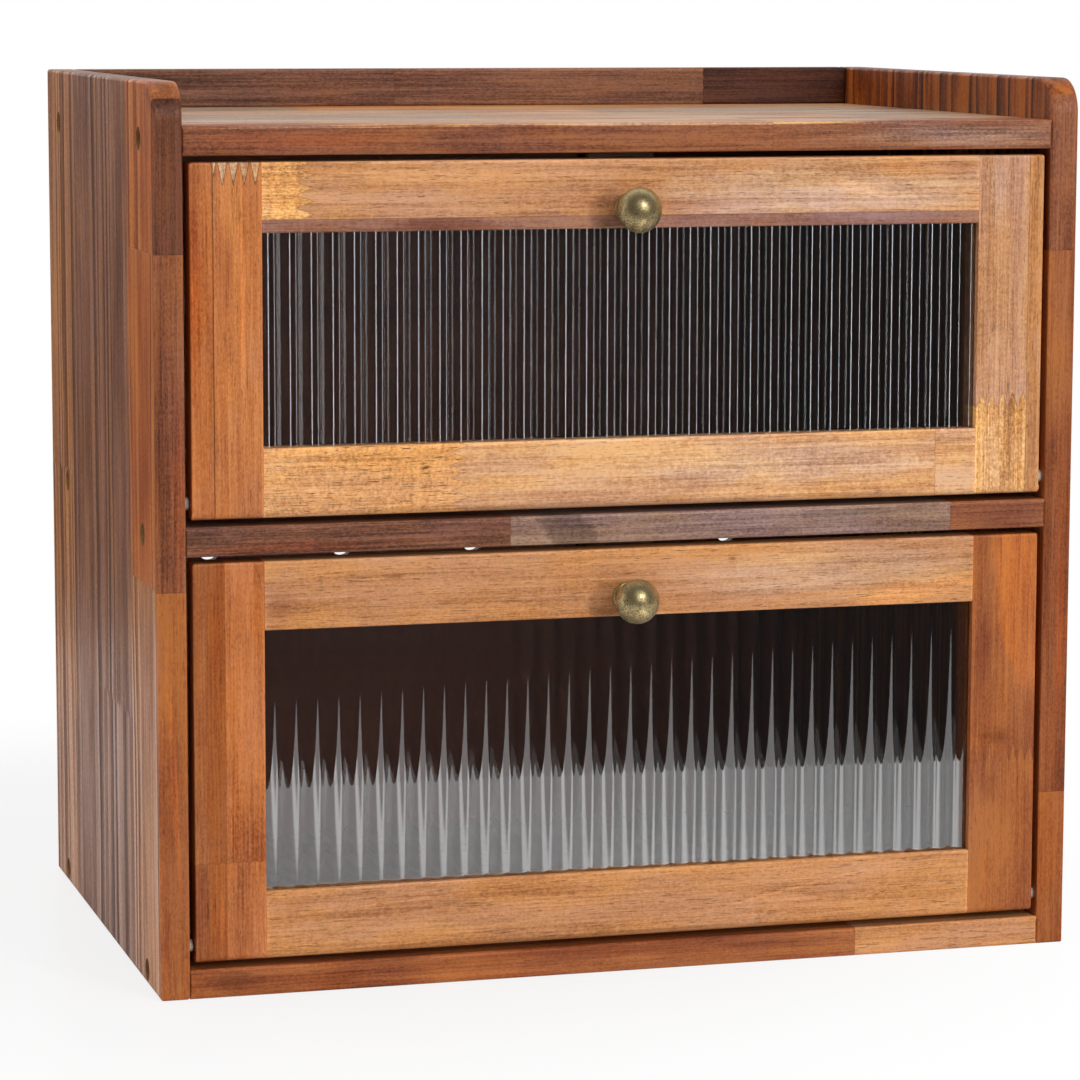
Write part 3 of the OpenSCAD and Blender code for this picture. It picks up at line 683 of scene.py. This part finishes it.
def add_mark(b, place, colour, tint, spot, reach, strength, hard=0.1, lean_x=0, lean_z=0):
    """Lays one mark over a colour. Spot and reach are its middle and its half sizes."""
    spot, reach = (tuple(v * MM for v in sizes) for sizes in (spot, reach))
    mask = b.group(MARK, Position=place, Middle=spot, Reach=reach, Lean=(lean_x, 0, lean_z),
                   Hard=hard)["Mask"]
    return b.mix(b.times(mask, strength), colour, MARK_TINTS[tint], blend="MULTIPLY")


def board_finish(name, grain, across, staves, low, high, marks, seed, pitch=4.5, glue=0.34,
                 bores=()):
    """The material of one board. grain and across name its two main axes; low and high
    are its corners; marks are what add_mark takes from tint on, in mm; pitch is that of
    the joints' teeth, and glue is how dark the joints are."""
    made, b, shader, at = new_material(name)
    random = np.random.default_rng(seed)
    parts = b.split(at["Object"])
    third = ({"x", "y", "z"} - {grain, across}).pop()
    along, side, deep = (parts[AXES[a]] for a in (grain, across, third))
    numbers, lines = lay_out(b, along, side, staves, random, pitch)
    light, middle, dark, pith, rings, fibres, clouds = numbers
    rings, fibres, clouds = (b.split(v) for v in (rings, fibres, clouds))
    wood = b.group(GRAIN, Position=b.join(along, side, deep), Pith=pith, Light=light,
                   Middle=middle, Dark=dark, Ring_Width=rings["X"], Rings=rings["Y"],
                   Pale_Lines=rings["Z"], Fibre=fibres["X"], Flecks=fibres["Y"],
                   Curl=fibres["Z"], Clouds=clouds["X"])
    colour = wood["Color"]
    for mark in marks:
        colour = add_mark(b, at["Object"], colour, *mark)
    ends = b.math("ABSOLUTE", b.split(at["Normal"])[AXES[grain]])
    ends = b.times(b.step(ends, 0.6, 0.95), END_SHARE)
    colour = b.mix(ends, colour, END_GRAIN, blend="MULTIPLY")
    colour = b.mix(b.times(lines, glue), colour, GLUE)
    # A lighter line along every edge: partly wear of the stain, partly a painted highlight where
    # the round of the edge catches the light.
    edge = b.group(EDGES, Position=at["Object"], Low=low, High=high)["Wear"]
    colour = b.mix(b.times(edge, WEAR_AND_HIGHLIGHT), colour, WORN_AND_HIGHLIGHT, blend="MULTIPLY")
    rough = b.scaled(wood["Stain"], STAIN_ROUGH, LACQUER_ROUGH)
    height = b.scaled(lines, -1.2, wood["Height"])
    if bores:
        colour, rough = bore_walls(b, at, bores, colour, rough)
    b.fill_named(shader, Base_Color=colour, Roughness=rough, Specular_IOR_Level=LACQUER_SHINE,
                 Normal=b.relief(height, BUMP, BUMP_HEIGHT))
    return made


def bore_walls(b, at, bores, colour, rough):
    """Inside a screw's bore the wood is raw. The nearest bore's axis is the smallest
    distance in Y and Z, and the stained face itself is left out by its normal."""
    nearest = 1.0
    for y, z in bores:
        off = b.vector("SUBTRACT", at["Object"], (0, y * MM, z * MM))
        off = b.length(b.vector("MULTIPLY", off, (0, 1, 1)))
        nearest = b.math("MINIMUM", nearest, off)
    inside = b.math("LESS_THAN", nearest, BORE_RADIUS)
    facing = b.math("ABSOLUTE", b.split(at["Normal"])["X"])
    inside = b.times(inside, b.math("LESS_THAN", facing, 0.6))
    raw = b.mix(b.streaks(at["Object"], (900, 900, 300)), RAW_WOOD, RAW_SHADE)
    return b.mix(inside, colour, raw), b.mix(inside, rough, RAW_ROUGH, "FLOAT")

# %% [markdown]
# ## The case
# Two side panels with the grain upright, three boards with the grain from side to side,
# the back rail and the thin back panel. The sides show the edges of many narrow rings:
# upright stripes, tan at the back, smoky in the middle and orange at the front.

# %% Build the case
FRONT = -130.0
SIDE_SHAPE = {"corner": (-115.4, 352.4), "outer": 1.2 * MM}
# Places are in mm. A stave is (its lower edge across the board, its offcuts). The first
# offcut is only a wood, and each of the others is (where it starts along the grain, its
# wood, the length of the joint's teeth). A mark is (tint, middle, half sizes, strength,
# how hard its edge is, its lean in x and in z).
CASE = {  # node: (name, grain, across, staves, marks, more)
    "left_side_panel": ("left_side", "z", "y", [
        (-130, ["rust", (165.7, "red_brown"), (299.6, "brown_dark")]),
        (-127.6, ["tan_stripe", (165.7, "orange_stripe"), (299.6, "orange_stripe")], "plain"),
        (-72, ["smoke_stripe", (106, "smoke_stripe", 3)], "plain"),
        (-2, ["smoke_stripe"], "plain"),
        (70, ["tan_stripe", (190, "tan_stripe", 3)], "plain")],
        [("soot", (-189, -124, 361), (12, 14, 9), 0.75, 0.3),
         ("glow", (-189, FRONT, 92), (1.9, 6, 78), 0.6, 0.2, 0.055),
         ("plum", (-189, FRONT, 60), (9, 6, 70), 0.35, 0.5),
         ("red", (-186, FRONT, 210), (4, 5, 60), 0.5),
         ("dark", (-193, FRONT, 230), (2.5, 5, 90), 0.5, 0.2)],
        {**SIDE_SHAPE, "seed": 3}),
    "right_side_panel": ("right_side", "z", "y", [
        (-130, ["amber_deep", (66, "rust"), (295.8, "red_brown")]),
        (-127.6, ["orange_stripe", (295.8, "ember_stripe")], "plain"),
        (-58, ["smoke_stripe", (212, "ember_stripe", 3)], "plain"),
        (12, ["tan_stripe", (250, "ember_stripe", 3)], "plain"),
        (80, ["smoke_stripe", (168, "ember_stripe", 3)], "plain")],
        [("red", (191, FRONT, 140), (2.2, 6, 60), 0.7, 0.2),
         ("dark", (185, FRONT, 190), (2.5, 6, 95), 0.5, 0.2)],
        {**SIDE_SHAPE, "seed": 11}),
    "top_board": ("top", "x", "y", [
        (-130, ["red_brown", (61, "red_brown", 0.4)]),
        (-72, ["brown", (-40, "red_brown", 7), (120, "brown", 7)]),
        (-8, ["red_brown", (30, "brown", 7)]),
        (58, ["brown", (-90, "rust", 7), (85, "red_brown", 7)])],
        [("red", (-135, FRONT, 344), (55, 8, 5), 0.6),
         # Painted sheen: the next three marks make the right of the front edge and the whole top
         # face paler and greyer, as lacquer looks where it mirrors light at a grazing angle.
         ("rose", (130, FRONT, 344), (90, 8, 8), 0.9),
         ("mist", (150, FRONT, 344), (75, 8, 7), 0.45),
         ("mist", (0, 0, 350), (260, 190, 2), 0.9, 0.8)], {"seed": 5}),
    "middle_shelf": ("middle_shelf", "x", "y", [
        (-130, ["shelf_brown", (-49.7, "ash_brown", 0.5), (140.9, "red_brown", 0.5)]),
        (-70, ["brown", (10, "red_brown", 7)]),
        (-5, ["red_brown", (-80, "brown", 7)]),
        (60, ["brown", (60, "red_brown", 7)])],
        [("red", (-137, FRONT, 182.5), (52, 7, 3.6), 0.9),
         ("soot", (-26, FRONT, 186), (40, 9, 14), 0.62, 0.75, 0, 1.2),
         ("grey", (98, FRONT, 188.5), (36, 7, 2.6), 0.75, 0.3),
         ("soot", (-178, FRONT, 188), (9, 7, 6), 0.45, 0.2),
         ("plum", (166, FRONT, 185), (22, 7, 8), 0.4, 0.5)], {"seed": 8}),
    "bottom_board": ("bottom_board", "x", "y", [
        (-130, ["rust", (100.8, "honey_low", 0.3)]),
        (-68, ["red_brown", (-20, "brown", 7)]),
        (0, ["brown", (90, "red_brown", 7)]),
        (66, ["red_brown", (-60, "brown", 7)])],
        [("dark", (-166, FRONT, 6.5), (16, 7, 5), 0.8, 0.3),
         ("plum", (-20, FRONT, 9.6), (130, 6, 2.8), 0.85, 0.2),
         ("dark", (70, FRONT, 7.5), (42, 6, 2.6), 0.55),
         ("glow", (-60, FRONT, 3.0), (95, 6, 2.0), 0.35)], {"seed": 13}),
    "back_rail": ("back_rail", "x", "z", [
        (350, ["brown", (-37, "brown", 0.4), (112, "deep", 0.4)])],
        [("soot", (-160, 118, 362), (50, 8, 5), 0.4)], {"seed": 21}),
    "back_panel": ("back_panel", "x", "z", [(9.1, ["back_brown"])],
        [], {"seed": 34, "outer": 0.3 * MM}),
}


def make_board(node, name, grain, across, staves, marks, more):
    """Softens a node and dresses it: more holds the odd options of either step."""
    shape = {k: more[k] for k in ("corner", "outer", "joints") if k in more}
    finish = {k: v for k, v in more.items() if k not in shape}
    piece = soften(node, name, **shape)
    low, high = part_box(node)
    wood = board_finish(name + "_wood", grain, across, staves, low, high, marks, **finish)
    piece.data.materials.append(wood)


BORE_FRONT, BORE_ROWS = -99.5, ((6, 99.5), (185.4, 87.5), (344, 99.5))
SCREW_SPOTS = [(y, z) for z, back in BORE_ROWS for y in (BORE_FRONT, back)]
for node, (name, grain, across, staves, marks, more) in CASE.items():
    if "side_panel" in node:
        more["bores"] = SCREW_SPOTS
    make_board(node, name, grain, across, staves, marks, more)
print("case boards:", len(CASE))

# %% [markdown]
# ## The doors
# Each door is four members, doweled at the corners: two stiles that run the full height
# and two rails between them. They took the stain more lightly than the case, honey and
# tan with orange stiles, and their offcuts show the long teeth of the joints.

# %% Build the door frames
FACE = -129.5
LEFT, RIGHT, STILE_IN = -180.5, 174.0, 151.5
DOORS = {
    "upper_left_stile": ("z", "x", [
        (LEFT, ["orange"]),
        (-171.2, ["amber", (331.6, "tan_speck", 8.6)])],
        [("red", (-178.5, FACE, 280), (3.5, 6, 60), 0.6),
         ("glow", (-159.5, FACE, 275), (1.6, 6, 60), 0.5),
         ("plum", (-166, FACE, 296), (5, 6, 24), 0.7),
         ("plum", (-175, FACE, 292), (5, 6, 22), 0.5)], {"pitch": 4.4, "glue": 0.85, "seed": 41}),
    "upper_right_stile": ("z", "x", [
        (STILE_IN, ["gold_curl", (233.6, "tan_dusk", 5)]),
        (RIGHT, ["honey_low"])],
        [("plum", (170, FACE, 300), (3, 6, 45), 0.4),
         # The next mark is painted sheen: a paler, greyer patch where the lacquer would mirror
         # light.
         ("rose", (160, FACE, 320), (7, 6, 20), 0.5),
         ("dark", (166, FACE, 238), (1.2, 6, 12), 0.6)], {"pitch": 4.6, "seed": 42}),
    "upper_top_rail": ("x", "z", [
        (307.5, ["mauve"]),
        (312.7, ["gold_curl", (-134.2, "honey", 6.1)])],
        # The first mark is painted sheen: a paler, greyer patch on the right of the rail.
        [("rose", (85, FACE, 322), (95, 8, 15), 1.0, 0.4),
         ("pale", (-144, FACE, 325), (9, 6, 13), 0.5, 0.7),
         ("plum", (-78, FACE, 310), (30, 6, 3.4), 0.8, 0.3),
         ("pale", (98, FACE, 323), (26, 6, 4), 0.7, 0.1, 0, 0.25),
         ("warm", (118, FACE, 330), (26, 6, 6), 0.6),
         ("plum", (143, FACE, 329), (12, 6, 7), 0.6),
         ("dark", (-119, FACE, 329.3), (8, 6, 0.5), 0.8),
         ("plum", (20, FACE, 317), (55, 6, 4), 0.6)], {"pitch": 5.2, "seed": 43}),
    "upper_bottom_rail": ("x", "z", [
        (194, ["gold_fleck", (-71, "tan_pink", 6.3), (133.6, "tan_pink", 0.3)])],
        # The first mark is painted sheen: a paler, greyer patch on the right of the rail.
        [("rose", (60, FACE, 210), (90, 6, 12), 0.7),
         # The next mark is painted shade: a dark band along the rounded bottom edge of the door.
         ("dark", (-10, FACE, 195.5), (170, 6, 2.2), 0.5, 0.3)], {"pitch": 5.2, "seed": 44}),
    "lower_left_stile": ("z", "x", [
        (LEFT, ["rust", (55.2, "rust", 0.6)]),
        (-175.0, ["amber_deep", (55.2, "amber_deep", 0.6)], "plain"),
        (-167.5, ["orange", (55.2, "orange", 0.6)], "plain")],
        [("warm", (-171, FACE, 150), (3, 6, 26), 0.6, 0.2),
         ("crack", (-172, FACE, 158), (0.35, 6, 7), 0.7),
         ("crack", (-175.5, FACE, 36), (0.35, 6, 6), 0.8),
         ("crack", (-172.5, FACE, 38), (0.3, 6, 7), 0.8),
         ("glow", (-169.5, FACE, 32), (1.4, 6, 16), 0.5)], {"pitch": 4.4, "seed": 45}),
    "lower_right_stile": ("z", "x", [
        (STILE_IN, ["rust", (83.9, "rust", 7.2)])],
        [("glow", (174, FACE, 148), (13, 6, 50), 0.75, 0.75, 0.16),
         ("plum", (156.5, FACE, 128), (4.5, 6, 24), 0.9, 0.3),
         ("dark", (163, FACE, 91), (10, 6, 5), 0.6, 0.2),
         ("plum", (160, FACE, 70), (5, 6, 12), 0.6),
         ("glow", (159, FACE, 30), (1.2, 6, 18), 0.5)], {"pitch": 3.6, "seed": 46}),
    "lower_top_rail": ("x", "z", [(148.9, ["honey_low"])],
        [("plum", (-145, FACE, 158), (9, 6, 10), 0.8),
         ("knot", (-98, FACE, 169), (6, 6, 2.2), 0.55),
         ("crack", (-113, FACE, 167.5), (9, 6, 0.3), 0.8, 0.1, 0, 0.12),
         ("crack", (-104, FACE, 156.8), (10, 6, 0.3), 0.7, 0.1, 0, 0.06),
         ("pale", (126, FACE, 154.5), (34, 6, 5), 0.8, 0.6, 0, -0.16),
         # The next mark is painted sheen: a paler, greyer patch on the right of the rail.
         ("rose", (90, FACE, 164), (85, 6, 13), 0.9, 0.3),
         ("knot", (45, FACE, 171), (3, 6, 1.1), 0.6),
         ("crack", (96, FACE, 170), (6, 6, 0.3), 0.6)], {"seed": 47}),
    "lower_bottom_rail": ("x", "z", [(14.6, ["honey_low"])],
        [("plum", (-140, FACE, 36), (14, 6, 7), 0.6),
         ("pale", (-85, FACE, 36), (75, 6, 0.8), 0.8, 0.1, 0, -0.07),
         ("pale", (70, FACE, 30), (60, 6, 0.8), 0.8, 0.1, 0, -0.20),
         ("crack", (-52, FACE, 19.5), (8, 6, 0.35), 0.8, 0.1, 0, -0.05),
         ("crack", (-60, FACE, 26), (6, 6, 0.25), 0.6, 0.1, 0, -0.05),
         # The next mark is painted shade: a dark band along the rounded bottom edge of the door.
         ("dark", (0, FACE, 15.8), (170, 6, 1.8), 0.45, 0.3)], {"seed": 48}),
}
for node, (grain, across, staves, marks, more) in DOORS.items():
    more["joints"] = [(0, -STILE_IN), (0, STILE_IN)]
    make_board(node, node.replace("_rail", "_door_rail").replace("_stile", "_door_stile"),
               grain, across, staves, marks, more)
print("door members:", len(DOORS))

# %% [markdown]
# ## Reeded panes
# The panes are clear sheets, flat on the inside and reeded in front, like the glass of
# old kitchen cupboards. Each reed is a shallow arc that was rolled into the hot glass,
# with a narrow rounded valley to either side, so every reed draws the strip lamp and the
# bright lane of the table as thin upright lines. The points are spaced evenly by slope,
# which keeps the tight valleys smooth. Plain glass mirrors only a twentieth of the light,
# and its thin lines would need many samples to come out clean. So the reeds get a coat
# that mirrors five times as much, and the strip lamp is that much weaker. The inside has
# no mirror: its image would be scattered by the reeds into a haze.

# %% Build the panes
RIBS, RIB_PITCH, RIB_ARC, RIB_VALLEY = 35, 8.8 * MM, 8.2 * MM, 4.0 * MM
ARC_STEPS, VALLEY_STEPS, PANE_ROWS = 20, 12, 9
GLASS_TINTS = (0.93, 0.96, 0.96, 1), (0.98, 0.98, 0.97, 1)
GLASS_IOR, GLASS_ROUGH, SMEAR, COAT_IOR, COAT_ROUGH = 1.52, 0.010, 0.012, 2.1, 0.012


def closed_sheet(name, front, back):
    """Joins two grids of points (rows up, columns to the right) into a closed sheet."""
    rows, columns = front.shape[:2]
    f = np.arange(rows * columns).reshape(rows, columns)
    b = f + f.size
    quads = [(f[:-1, :-1], f[:-1, 1:], f[1:, 1:], f[1:, :-1]),
             (b[:-1, :-1], b[1:, :-1], b[1:, 1:], b[:-1, 1:]),
             (f[0, :-1], b[0, :-1], b[0, 1:], f[0, 1:]),
             (f[-1, :-1], f[-1, 1:], b[-1, 1:], b[-1, :-1]),
             (f[:-1, 0], f[1:, 0], b[1:, 0], b[:-1, 0]),
             (f[:-1, -1], b[:-1, -1], b[1:, -1], f[1:, -1])]
    faces = np.concatenate([np.stack(q, -1).reshape(-1, 4) for q in quads])
    points = np.concatenate([front.reshape(-1, 3), back.reshape(-1, 3)])
    return new_mesh(name, points, faces.tolist())


def smooth(mesh):
    """Puts a mesh into the scene, shaded smooth but for its sharp edges."""
    mesh.polygons.foreach_set("use_smooth", np.ones(len(mesh.polygons), bool))
    mesh.set_sharp_from_angle(angle=SHARP_ANGLE)
    return put(mesh.name, mesh)


def reed_outline():
    """One reed from valley to valley, as x and the distance from the reed's top. Both
    arcs meet where the slope is a: sin a is half the pitch over the sum of the radii."""
    slope = np.arcsin(RIB_PITCH / 2 / (RIB_ARC + RIB_VALLEY))
    arc = np.linspace(-slope, slope, ARC_STEPS + 1)[1:-1]
    dip = np.linspace(-slope, 0, VALLEY_STEPS // 2 + 1)[:-1]
    floor_at = RIB_ARC - ((RIB_ARC + RIB_VALLEY) * np.cos(slope) - RIB_VALLEY)
    fall, rise = -RIB_VALLEY * np.sin(dip), floor_at - RIB_VALLEY * (1 - np.cos(dip))
    x = [[0.0], fall[::-1], RIB_PITCH / 2 + RIB_ARC * np.sin(arc), RIB_PITCH - fall]
    down = [[floor_at], rise[::-1], RIB_ARC * (1 - np.cos(arc)), rise]
    return np.concatenate(x), np.concatenate(down)


def reeded_sheet(node, name):
    """Flat at the back, reeded at the front, where the reeds' tops lie at the node's."""
    low, high = (np.array(c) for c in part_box(node))
    half = RIBS * RIB_PITCH / 2
    reed_x, reed_down = reed_outline()
    x = (np.arange(RIBS)[:, None] * RIB_PITCH + reed_x - half).ravel()
    down = np.tile(reed_down, RIBS)
    x = np.concatenate([[low[0]], x, [half, high[0]]])
    down = np.concatenate([[0], down, [reed_down[0], 0]])
    z = np.linspace(low[2], high[2], PANE_ROWS)
    gx, gz = np.meshgrid(x, z)
    front = np.stack([gx, low[1] + np.tile(down, (len(z), 1)), gz], -1)
    back = np.stack([gx, np.full(gx.shape, high[1]), gz], -1)
    return stand_for(smooth(closed_sheet(name, front, back)), node)


def pane_finish(name, polish):
    """Clear sheet: faint smears in the polish and a breath of grey. Polish is the share
    of the mirror and of the coat: all of it for the reeds, none for the inside."""
    made, b, shader, at = new_material(name)
    film = b.streaks(at["Object"], (14, 14, 6), 4.0, 0.6)
    smear = b.scaled(b.step(film, 0.42, 0.75), SMEAR, GLASS_ROUGH)
    b.fill_named(shader, Base_Color=b.mix(film, *GLASS_TINTS), Roughness=smear,
                 Transmission_Weight=1.0, IOR=GLASS_IOR, Specular_IOR_Level=polish,
                 Coat_Weight=polish, Coat_IOR=COAT_IOR, Coat_Roughness=COAT_ROUGH)
    return made


reeded, inside = pane_finish("reeded_pane_glass", 1.0), pane_finish("inner_pane_glass", 0.0)
for tier in ("upper", "lower"):
    pane = reeded_sheet(tier + "_pane", tier + "_reeded_pane")
    pane.data.materials.append(reeded)
    pane.data.materials.append(inside)
    backward = read(pane.data.polygons, "normal", 3)[:, 1] > 0.99
    pane.data.polygons.foreach_set("material_index", backward.astype(int))
print("panes with", RIBS, "ribs each,", len(pane.data.polygons), "faces")

# %% [markdown]
# ## Brass knobs
# A knob is turned on a lathe: a small foot, a waisted neck and a domed head. We draw its
# half outline with rounded corners and spin it. Antique brass is made by darkening the
# whole knob in a bath and rubbing it back: the patina stays in a fine speckle, thicker
# on the lower half, and the rubbed metal between is satin.

# %% Turn the knobs
KNOB = {"reach": 21, "head": 18.4, "dome": 6.5, "skirt": 3.8, "foot": 13, "foot_h": 1.8,
        "neck": 7.6}
FOOT_ROUND, BACK_ROUND, LIP, LIP_INSET = 0.9, 0.3, 0.5, 0.12


def knob_outline(reach, head, dome, skirt, foot, foot_h, neck):
    """Half outline as (radius, distance from the door), from the middle of the foot's
    back to the tip of the dome. All sizes in mm, corners as short arcs. The skirt under
    the head flares as a power of 1.25, and the dome is a piece of a ball."""
    head_z, skirt_z = reach - dome, reach - dome - skirt
    half_head, half_neck, half_foot = head / 2, neck / 2, foot / 2
    arc = np.linspace(0, np.pi / 2, 9)
    r = FOOT_ROUND
    rows = [(0.0, 0.0), (half_foot - BACK_ROUND, 0.0), (half_foot, BACK_ROUND)]
    rows += [(half_foot - r * (1 - np.cos(a)), foot_h - r + r * np.sin(a)) for a in arc]
    rows += [(half_neck + r * (1 - np.sin(a)), foot_h + r * (1 - np.cos(a))) for a in arc[:-1]]
    rows += [(half_neck, z) for z in np.linspace(foot_h + r, skirt_z - 0.6, 4)]
    flare = half_head - LIP_INSET - half_neck
    rows += [(half_neck + flare * s, skirt_z + (skirt - 2 * LIP) * s ** 1.25)
             for s in np.linspace(0.06, 1, 12)]
    rows += [(half_head, head_z - 1.5 * LIP), (half_head, head_z - LIP / 2)]
    ball = (half_head ** 2 + dome ** 2) / (2 * dome)
    start = np.arcsin(half_head / ball) * 0.985
    rows += [(ball * np.sin(a), reach - ball + ball * np.cos(a)) for a in np.linspace(start, 0, 26)]
    return np.array(rows) * MM


def spin(name, outline, centre, turns=96):
    """Turns an outline about the axis that runs from the centre towards the front."""
    radius, out = outline[1:-1].T
    angle = np.linspace(0, 2 * np.pi, turns, endpoint=False)
    ring = np.stack([np.outer(radius, np.cos(angle)), np.repeat(-out[:, None], turns, 1),
                     np.outer(radius, np.sin(angle))], -1)
    ends = [[0, -outline[0, 1], 0], [0, -outline[-1, 1], 0]]
    points = np.concatenate([ring.reshape(-1, 3), ends]) + centre
    at = np.arange(ring.shape[0] * turns).reshape(ring.shape[0], turns)
    after = np.roll(at, -1, 1)
    quads = np.stack([at[:-1], at[1:], after[1:], after[:-1]], -1).reshape(-1, 4)
    back, tip = at.size, at.size + 1
    caps = np.concatenate([np.stack([at[0], after[0], np.full(turns, back)], -1),
                           np.stack([after[-1], at[-1], np.full(turns, tip)], -1)])
    return new_mesh(name, points, quads.tolist() + caps.tolist())


def brass_finish():
    """Rubbed-back patina: specks from two sizes of noise, more of them low on the knob."""
    made, b, shader, at = new_material("knob_antique_brass")
    fine = b.noise(at["Object"], 3000.0, 3.0, 0.7)
    blot = b.noise(at["Object"], 420.0, 3.0, 0.6)
    low = b.times(b.split(at["Normal"])["Z"], -0.10)
    depth = b.scaled(fine, 1.3, b.scaled(blot, 0.45, low))
    patina = b.step(depth, 0.74, 1.06)
    bright = b.mix(blot, tone("c2ac76"), tone("e2cf9f"))
    rusty = b.mix(b.step(low, 0.0, -0.06), tone("4f3a1c"), tone("45391f"))
    b.fill_named(shader, Base_Color=b.mix(patina, bright, rusty),
                 Metallic=b.scaled(patina, -0.35, 0.95), Roughness=b.scaled(patina, 0.16, 0.30),
                 Normal=b.relief(b.times(patina, -1.0), 0.25, 0.06 * MM))
    return made


brass = brass_finish()
for tier in ("upper", "lower"):
    low, high = (np.array(c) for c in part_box(tier + "_knob"))
    centre = np.array([(low[0] + high[0]) / 2, high[1], (low[2] + high[2]) / 2])
    turned = spin(tier + "_door_knob", knob_outline(**KNOB), centre)
    knob = stand_for(smooth(turned), tier + "_knob")
    knob.data.materials.append(brass)
print("knobs:", len(knob.data.polygons), "faces each")

# %% [markdown]
# ## Small fittings
# Screws, pins, bushes, magnetic catches and their strike plates. Their CAD shapes are
# complete, so we only soften their edges by a tenth or two of a millimetre, which is
# what pressing, plating and moulding do to them. Plated steel gets fine scratches that
# run along each piece, and moulded plastic a fine grain and a faint sink of colour.

# %% The fittings' finishes
def build_metal():
    b, given, out = new_group(
        "scratched metal",
        {"Position": (0, 0, 0), "Stretch": (900, 900, 60), "Bright": tone("b5b5b6"),
         "Dull": tone("77736c"), "Rough": 0.3},
        ("Color", "Rough", "Height"))
    scratch = b.streaks(given["Position"], given["Stretch"], 3.0, 0.6)
    bloom = b.noise(given["Position"], 260.0, 4.0, 0.6)
    dull = b.step(bloom, 0.42, 0.72)
    colour = b.mix(dull, given["Bright"], given["Dull"])
    rough = b.scaled(dull, 0.15, b.scaled(scratch, 0.12, given["Rough"]))
    b.fill_named(out, Color=b.mix(b.times(scratch, 0.5), colour, given["Dull"]), Rough=rough,
                 Height=scratch)
    return b.tree


def build_moulded():
    b, given, out = new_group(
        "moulded plastic",
        {"Position": (0, 0, 0), "Body": tone("e6e4dd"), "Shade": tone("c9c6bc"), "Grain": 0.1},
        ("Color", "Rough", "Height"))
    grain = b.noise(given["Position"], 3200.0, 2.0, 0.6)
    cloud = b.noise(given["Position"], 210.0, 3.0, 0.55)
    b.fill_named(out, Color=b.mix(b.step(cloud, 0.35, 0.7), given["Body"], given["Shade"]),
                 Rough=b.scaled(cloud, 0.16, 0.36), Height=b.times(grain, given["Grain"]))
    return b.tree


def build_ferrite():
    b, given, out = new_group(
        "sintered ferrite", {"Position": (0, 0, 0)}, ("Color", "Rough", "Height"))
    cells = b.add("TexVoronoi", given["Position"], None, 1500.0).outputs["Distance"]
    ground = b.streaks(given["Position"], (90, 2200, 2200), 2.0, 0.6)
    grey = b.scaled(ground, 0.6, b.times(cells, 0.4))
    b.fill_named(out, Color=b.mix(grey, tone("18181b"), tone("46464b")),
                 Rough=b.scaled(cells, 0.25, 0.42), Height=ground)
    return b.tree


def fitting_finish(name, group, metallic=0.0, **values):
    """Feeds one of the groups above into a plain shader."""
    made, b, shader, at = new_material(name)
    look = b.group(group, Position=at["Object"], **values)
    b.fill_named(shader, Base_Color=look["Color"], Roughness=look["Rough"], Metallic=metallic,
                 Normal=b.relief(look["Height"], 0.2, 0.04 * MM))
    return made


def dowel_finish():
    """Beech dowels: pale, straight grained, with the short dark flecks of beech."""
    made, b, shader, at = new_material("beech_dowels")
    look = b.group(GRAIN, Position=at["Object"], Pith=(1.7, 0.06, 0.03), Light=tone("e6c79a"),
                   Middle=tone("cfa674"), Dark=tone("9c7446"), Ring_Width=0.0016, Rings=0.25,
                   Fibre=0.35, Flecks=0.9, Clouds=0.3)
    b.fill_named(shader, Base_Color=look["Color"], Roughness=0.62)
    return made


METAL, MOULDED = build_metal(), build_moulded()
SCREW = fitting_finish("zinc_screw_steel", METAL, 1.0, Bright=tone("c0b79e"),
                       Dull=tone("7d7258"), Rough=0.30)
FINISHES = {
    "screws": SCREW, "screw": SCREW,
    "pin": fitting_finish("bright_pin_steel", METAL, 1.0, Stretch=(60, 1100, 1100), Rough=0.16),
    "plate": fitting_finish("nickel_strike_plate", METAL, 1.0, Stretch=(70, 1200, 1200),
                            Bright=tone("c3c2be"), Dull=tone("8e8a82"), Rough=0.24),
    "bush": fitting_finish("white_nylon_bush", MOULDED, Grain=0.3),
    "body": fitting_finish("brown_catch_plastic", MOULDED, Body=tone("5a3a26"),
                           Shade=tone("3c2618"), Grain=0.5),
    "magnet": fitting_finish("ferrite_magnet", build_ferrite(), 0.4),
    "dowels": dowel_finish(),
}
print("fitting finishes:", ", ".join(FINISHES))

# %% Soften and dress the fittings
SOFT = {"screws": 0.12, "screw": 0.12, "pin": 0.3, "plate": 0.22, "bush": 0.25, "body": 0.35,
        "magnet": 0.2, "dowels": 0.4}
for node in NODES:
    kind = node.split("_")[-1]
    if kind in SOFT:
        piece = soften(node, node.replace("_door_dowels", "_corner_dowels") + "_fitting",
                       outer=SOFT[kind] * MM, every=True, segments=2)
        piece.data.materials.append(FINISHES[kind])
print("fittings:", sum(n.split("_")[-1] in SOFT for n in NODES))
